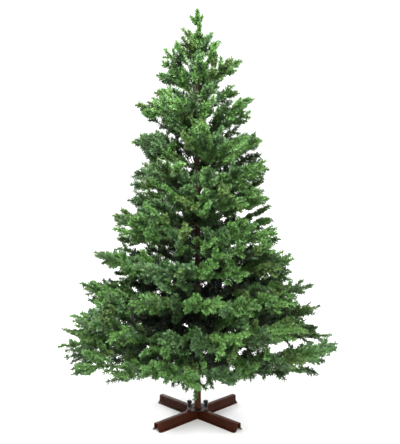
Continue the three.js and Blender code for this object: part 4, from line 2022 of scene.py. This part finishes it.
KNOB_HEAD = Turning((
    (CLOSED, 0, 0), (6.2, 0, 0), (6.5, 1, 0.2), (5.8, 5, 0), (10.5, 6, 0.1), (12.4, 7.2, 0.4),
    (13, 9.5, 0.5), (13, 16, 0.6), (12.2, 18, 0.8), (10.6, 19, 0.6), (8.5, 18.4, 0.1),
    (CLOSED, 18, 0)), sides=48, lobes=6, hollow=0.16)
BOLT_WASHER = Turning((
    (CLOSED, 0, 0), (8.5, 0, 0.3), (8.5, 0.8, 0.6), (7.6, 1, 0)), sides=32)
BOLT_HEAD = Turning((
    (CLOSED, 0.8, 0), (8, 0.8, 0.2), (8, 4.3, 0.9), (7, 5, 0.7), (CLOSED, 5, 0)), sides=6)
TURNINGS = {Tool.KNOB: (KNOB_HEAD,), Tool.BOLT: (BOLT_WASHER, BOLT_HEAD)}


@dataclass
class Leg:
    """One pressed leg: a channel that is open below, with sides that flare out, and a round toe.

    It runs along +X before it is turned. Its rub values are for the bends, the shoulders where a
    bend starts, the foot, the foot's edge and the toe.
    """

    tip: float = 286
    high: float = 40.5
    top_half: float = 12
    foot_half: float = 34.5
    foot_edge: float = 1
    foot_lift: float = 0.9
    sheet: float = 2.5
    top_bend: float = 3.2
    top_steps: int = 6
    flare: float = 17
    flare_steps: int = 9
    corner: float = 13
    seam: float = 0.22
    inner: float = 18.3
    shares: tuple[float, ...] = (0, 0.02, 0.2, 0.4, 0.6, 0.8, 0.98, 1)
    bend_rub: float = 0.7
    shoulder_rub: float = 0.1
    foot_rub: float = 0.4
    edge_rub: float = 1.0
    toe_rub: float = 0.9
    sharp: float = 30

    def half_section(self) -> list[Row]:
        """Works out the outer face of the right half of the pressed section.

        Returns:
            Rows of (y, z, rub) from the middle of the top out to the foot's edge.
        """
        bend_y, bend_z = self.top_half - self.top_bend, self.high - self.top_bend
        rows = [(0, self.high, 0), (bend_y, self.high, self.shoulder_rub)]
        for i in range(1, self.top_steps):
            angle = math.radians(90 - 90 / self.top_steps * i)
            rows.append((bend_y + self.top_bend * math.cos(angle),
                         bend_z + self.top_bend * math.sin(angle), self.bend_rub))
        rows.append((self.top_half, bend_z, self.shoulder_rub))
        flare_y, flare_z = self.top_half + self.flare, self.sheet + self.flare
        for i in range(self.flare_steps + 1):
            angle = math.radians(180 + 90 / self.flare_steps * i)
            rows.append((flare_y + self.flare * math.cos(angle),
                         flare_z + self.flare * math.sin(angle), 0))
        rows.append((self.foot_half - self.foot_edge, self.sheet, self.foot_rub))
        rows.append((self.foot_half, self.sheet - self.foot_lift, self.edge_rub))
        return rows

    def inner_face(self, outer: list[Row]) -> list[Row]:
        """Works out the inner face of the section, a sheet's thickness inside the outer one.

        Args:
            outer: The rows of the outer face.

        Returns:
            As many rows for the inner face.
        """
        rows = []
        for i, (y, z, _) in enumerate(outer):
            before, after = outer[max(i - 1, 0)], outer[min(i + 1, len(outer) - 1)]
            slope = Vector((after[0] - before[0], after[1] - before[1])).normalized()
            inside = y - slope.y * self.sheet
            rows.append((max(-self.foot_half, min(self.foot_half, inside)),
                         max(0.0, z - slope.x * self.sheet), 0))
        return rows

    def run(self, y: float, share: float) -> float:
        """Finds how far out a line of the leg has come.

        Args:
            y: The line's place across the leg.
            share: The share of its way from the mitre at the hub to the rounded toe.

        Returns:
            The distance from the pole's axis along the leg.
        """
        near = max(abs(y) + self.seam, math.sqrt(max(self.inner ** 2 - y * y, 0)))
        over = max(0.0, abs(y) - (self.foot_half - self.corner))
        far = self.tip - self.corner + math.sqrt(max(self.corner ** 2 - over ** 2, 0))
        return lerp(near, far, share)

    def build(self, name: str, azimuth: float, paint: Material) -> Object:
        """Builds the leg.

        Args:
            name: The piece's name.
            azimuth: Where it heads, in degrees.
            paint: Its material.

        Returns:
            The piece.
        """
        half = self.half_section()
        outer = [(-y, z, rub) for y, z, rub in reversed(half[1:])] + half
        loop = outer + self.inner_face(outer)[::-1]
        turn = Quaternion((0, 0, 1), math.radians(azimuth))
        maker = MeshMaker()
        rows = []
        for share in self.shares:
            worn = self.toe_rub if share == 1 else 0.0
            rows.append(maker.ring(
                [turn @ Vector((self.run(y, share), y, z)) for y, z, _ in loop],
                [max(rub, worn) for _, _, rub in loop]))
        for low, high in zip(rows, rows[1:]):
            maker.skin(low, high)
        total = len(loop)
        for row, flip in ((rows[0], False), (rows[-1], True)):
            for i in range(len(outer) - 1):
                face = (row[i], row[total - 1 - i], row[total - 2 - i], row[i + 1])
                maker.faces.append(tuple(reversed(face)) if flip else face)
        return maker.piece(name, paint, self.sharp)


@dataclass
class Hub:
    """The plate with its four lobes over the legs, and the socket that takes the pole.

    The plate's rim has rows of the inset, the rise over the plate's face and the rub. The weld
    and the mouth have rows of the distance over the socket's radius, the rise over the plate's
    face or over the socket's top, and the rub.
    """

    plate_half: float = 57
    plate_low: float = 40.8
    plate_high: float = 43.8
    plate_rub: float = 0.2
    plate_rim: tuple[Row, ...] = ((0, -0.8, 0.8), (0.8, 0, 0.8), (3, 0, 0))
    lobe: float = 14
    lobe_steps: int = 8
    waist: float = 4
    socket: float = 18
    socket_top: float = 150
    socket_wall: float = 1.7
    socket_bottom: float = 130
    weld: tuple[Row, ...] = (
        (0, -1, 0), (6, -1, 0.2), (6, 1.4, 0.8), (5.4, 2, 0.8), (1.5, 3.2, 0.1), (0, 6.5, 0))
    mouth: tuple[Row, ...] = ((0, -3, 0), (0.6, -1.5, 0.6), (0, 0, 0.9))
    sides: int = 48

    def plate(self, paint: Material) -> Object:
        """Builds the plate.

        Args:
            paint: Its material.

        Returns:
            The piece.
        """
        lobe, waist = self.plate_half - self.lobe, self.plate_half - self.waist
        outline = []
        for quarter in range(4):
            turn = quarter * math.pi / 2
            spin = Quaternion((0, 0, 1), turn)
            centre = spin @ Vector((lobe, lobe, 0))
            for i in range(self.lobe_steps + 1):
                angle = turn + math.pi / 2 * i / self.lobe_steps
                outline.append(centre + polar(self.lobe, angle, 0))
            outline.append(spin @ Vector((0, waist, 0)))
        levels = [(0, self.plate_low, self.plate_rub), *moved(self.plate_rim, 0, self.plate_high)]
        maker = MeshMaker()
        rows = []
        for inset, z, rub in levels:
            rows.append(maker.ring([
                p * (1 - inset / p.length) + Vector((0, 0, z)) for p in outline], rub))
        maker.tube(rows)
        return maker.piece("hub_plate", paint)

    def tube(self, paint: Material) -> Object:
        """Builds the socket.

        Args:
            paint: Its material.

        Returns:
            The piece.
        """
        rows = [(CLOSED, 0, 0), (self.socket, 0, 0)]
        rows += moved(self.weld, self.socket, self.plate_high)
        rows += moved(self.mouth, self.socket, self.socket_top)
        bore, bottom = self.socket - self.socket_wall, self.socket_bottom
        rows += [(bore, self.socket_top, self.mouth[-1][2]), (bore, bottom, 0), (CLOSED, bottom, 0)]
        maker = MeshMaker()
        maker.turned(rows, self.sides)
        return maker.piece("hub_socket", paint)


@dataclass
class Stand:
    """The four legs and the hub, with a knob or a bolt through the hub's plate into each leg."""

    corners: tuple[tuple[str, float, Tool], ...] = (
        ("back_right", 45, Tool.KNOB), ("back_left", 135, Tool.KNOB),
        ("front_left", 225, Tool.BOLT), ("front_right", 315, Tool.BOLT))
    offset: float = 61
    seat: float = 44.1
    shank: float = 4
    shank_end: float = 31
    shank_sides: int = 16

    def tool(self, name: str, azimuth: float, kind: Tool, finish: Material) -> Object:
        """Builds one knob or bolt: its shank, and what stands on the plate.

        Args:
            name: The piece's name.
            azimuth: The leg that it is on, in degrees.
            kind: Whether it is a knob or a bolt.
            finish: Its material.

        Returns:
            The piece.
        """
        maker = MeshMaker()
        centre = polar(self.offset, math.radians(azimuth), 0)
        shank = [(CLOSED, self.shank_end, 0), (self.shank, self.shank_end, 0),
                 (self.shank, self.seat, 0)]
        maker.turned(shank, self.shank_sides, centre=centre)
        for part in TURNINGS[kind]:
            rows = moved(part.rows, 0, self.seat)
            maker.turned(rows, part.sides, part.lobes, part.hollow, centre)
        return maker.piece(name, finish)

    def build(self, paint: Material, plate_paint: Material,
              plastic: Material) -> list[tuple[Object, str, str]]:
        """Builds the stand.

        Args:
            paint: The material of the legs, the socket and the bolts.
            plate_paint: The plate's material.
            plastic: The knobs' material.

        Returns:
            The pieces, each with its slot and the node that it stands for.
        """
        made = []
        dress = {Tool.KNOB: (plastic, "knob_plastic"), Tool.BOLT: (paint, "stand_paint")}
        for corner, azimuth, kind in self.corners:
            leg = Leg().build(f"leg_{corner}", azimuth, paint)
            made.append((leg, "stand_paint", f"stand_leg_{corner}"))
            finish, slot = dress[kind]
            tool = self.tool(f"{kind.value}_{corner}", azimuth, kind, finish)
            made.append((tool, slot, f"stand_{kind.value}_{corner}"))
        for piece in (Hub().plate(plate_paint), Hub().tube(paint)):
            made.append((piece, "stand_paint", "stand_hub"))
        return made


# Studio


class LampKind(Enum):
    """The kind of a lamp, with the name of the setting that its size goes into."""

    AREA = "size"
    SUN = "angle"


@dataclass(frozen=True)
class Lamp:
    """One soft lamp that looks at the tree: a square one, or a distant one with its angle as size."""

    name: str
    kind: LampKind
    place: Place
    target: Place
    size: float
    power: float

    def build(self) -> None:
        """Builds the lamp."""
        light = bpy.data.lights.new(self.name, self.kind.name)
        light.energy = self.power
        setattr(light, self.kind.value, self.size)
        aim = Vector(self.target) - Vector(self.place)
        obj = placed(self.name, light)
        obj.location = self.place
        obj.rotation_euler = aim.to_track_quat("-Z", "Y").to_euler()


@dataclass
class Studio:
    """The pale floor, the soft light and the camera, in metres and with the pitch in degrees."""

    lens: float = 45.9
    sensor: float = 36.0
    far_end: float = 100.0
    place: Place = (0.0128, -2.917, 1.158)
    pitch: float = 2.81
    floor_radius: float = 30.0
    floor_low: float = 0.0005
    floor_sides: int = 64
    white: tuple[float, float, float, float] = (1.0, 1.0, 1.0, 1.0)
    sky: float = 1.5
    lamps: tuple[Lamp, ...] = (
        Lamp("key", LampKind.AREA, (-0.3, -1.7, 3.05), (0, 0, 1.3), 1.3, 500),
        Lamp("low", LampKind.SUN, (2.4, -3.2, 2.2), (0, 0, 0.2), math.radians(24), 1.9),
        Lamp("back", LampKind.SUN, (-1.6, 3.4, 2.6), (0, 0, 1.0), math.radians(40), 3.2),
    )

    def build(self, floor_finish: Material) -> None:
        """Builds the floor, the sky, the lamps and the camera.

        Args:
            floor_finish: The floor's material.
        """
        self.floor(floor_finish)
        self.light()
        for lamp in self.lamps:
            lamp.build()
        self.camera()
        bpy.context.scene.view_settings.view_transform = "Standard"

    def floor(self, finish: Material) -> None:
        """Builds the floor just under the stand.

        Args:
            finish: Its material.
        """
        maker = MeshMaker()
        radius, z = self.floor_radius / MM, -self.floor_low / MM
        ring = maker.ring([polar(radius, azimuth, z) for azimuth in around(self.floor_sides)])
        maker.faces.append(tuple(ring))
        maker.piece("floor", finish)

    def light(self) -> None:
        """Builds the even white sky."""
        world = bpy.data.worlds.new("studio")
        world.use_nodes = True
        background = world.node_tree.nodes["Background"]
        background.inputs["Color"].default_value = self.white
        background.inputs["Strength"].default_value = self.sky
        bpy.context.scene.world = world

    def camera(self) -> None:
        """Builds the camera, level from side to side and tilted down by the pitch."""
        camera = bpy.data.cameras.new("camera")
        camera.lens, camera.sensor_width = self.lens, self.sensor
        camera.clip_end = self.far_end
        obj = placed("camera", camera)
        obj.location = self.place
        obj.rotation_euler = (math.radians(90 - self.pitch), 0, 0)
        bpy.context.scene.camera = obj


def own(piece: Object, nodes: list[str]) -> None:
    """Puts a piece on its body, hides the CAD parts that it stands for, and reports its triangles.

    Args:
        piece: The piece.
        nodes: The nodes.
    """
    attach(piece, BODY)
    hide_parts(*nodes)
    piece.data.calc_loop_triangles()
    log.info("%s: %d triangles", piece.name, len(piece.data.loop_triangles))


def main() -> None:
    """Builds the tree, its stand and the studio."""
    logging.basicConfig(level=logging.INFO, format="%(name)s %(message)s")
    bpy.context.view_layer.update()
    grain = grain_group()
    Studio().build(FLOOR_COAT.build(grain))
    wrap = WIRE_WRAP.build(grain)

    masses = RULE.grow()
    log.info("masses %d, sprays %d", len(masses), sum(len(m.sprays) for m in masses))
    foliage = Foliage()
    foliage.dress(masses)
    for piece in foliage.pieces(wrap):
        own(piece, [mass.node for mass in masses])

    boughs = [f"bough_{i}_{k + 1}" for i, t in enumerate(TIERS, 1) if t.bough for k in range(t.count)]
    own(Boughs().build(wrap), boughs)
    own(Pole().build(POLE_PAINT.build(grain)), ["pole"])
    paints = STAND_PAINT.build(grain), PLATE_PAINT.build(grain), KNOB_PLASTIC.build(grain)
    for piece, slot, node in Stand().build(*paints):
        own(piece, [node])

    bpy.context.view_layer.update()


if __name__ == "__main__":
    main()
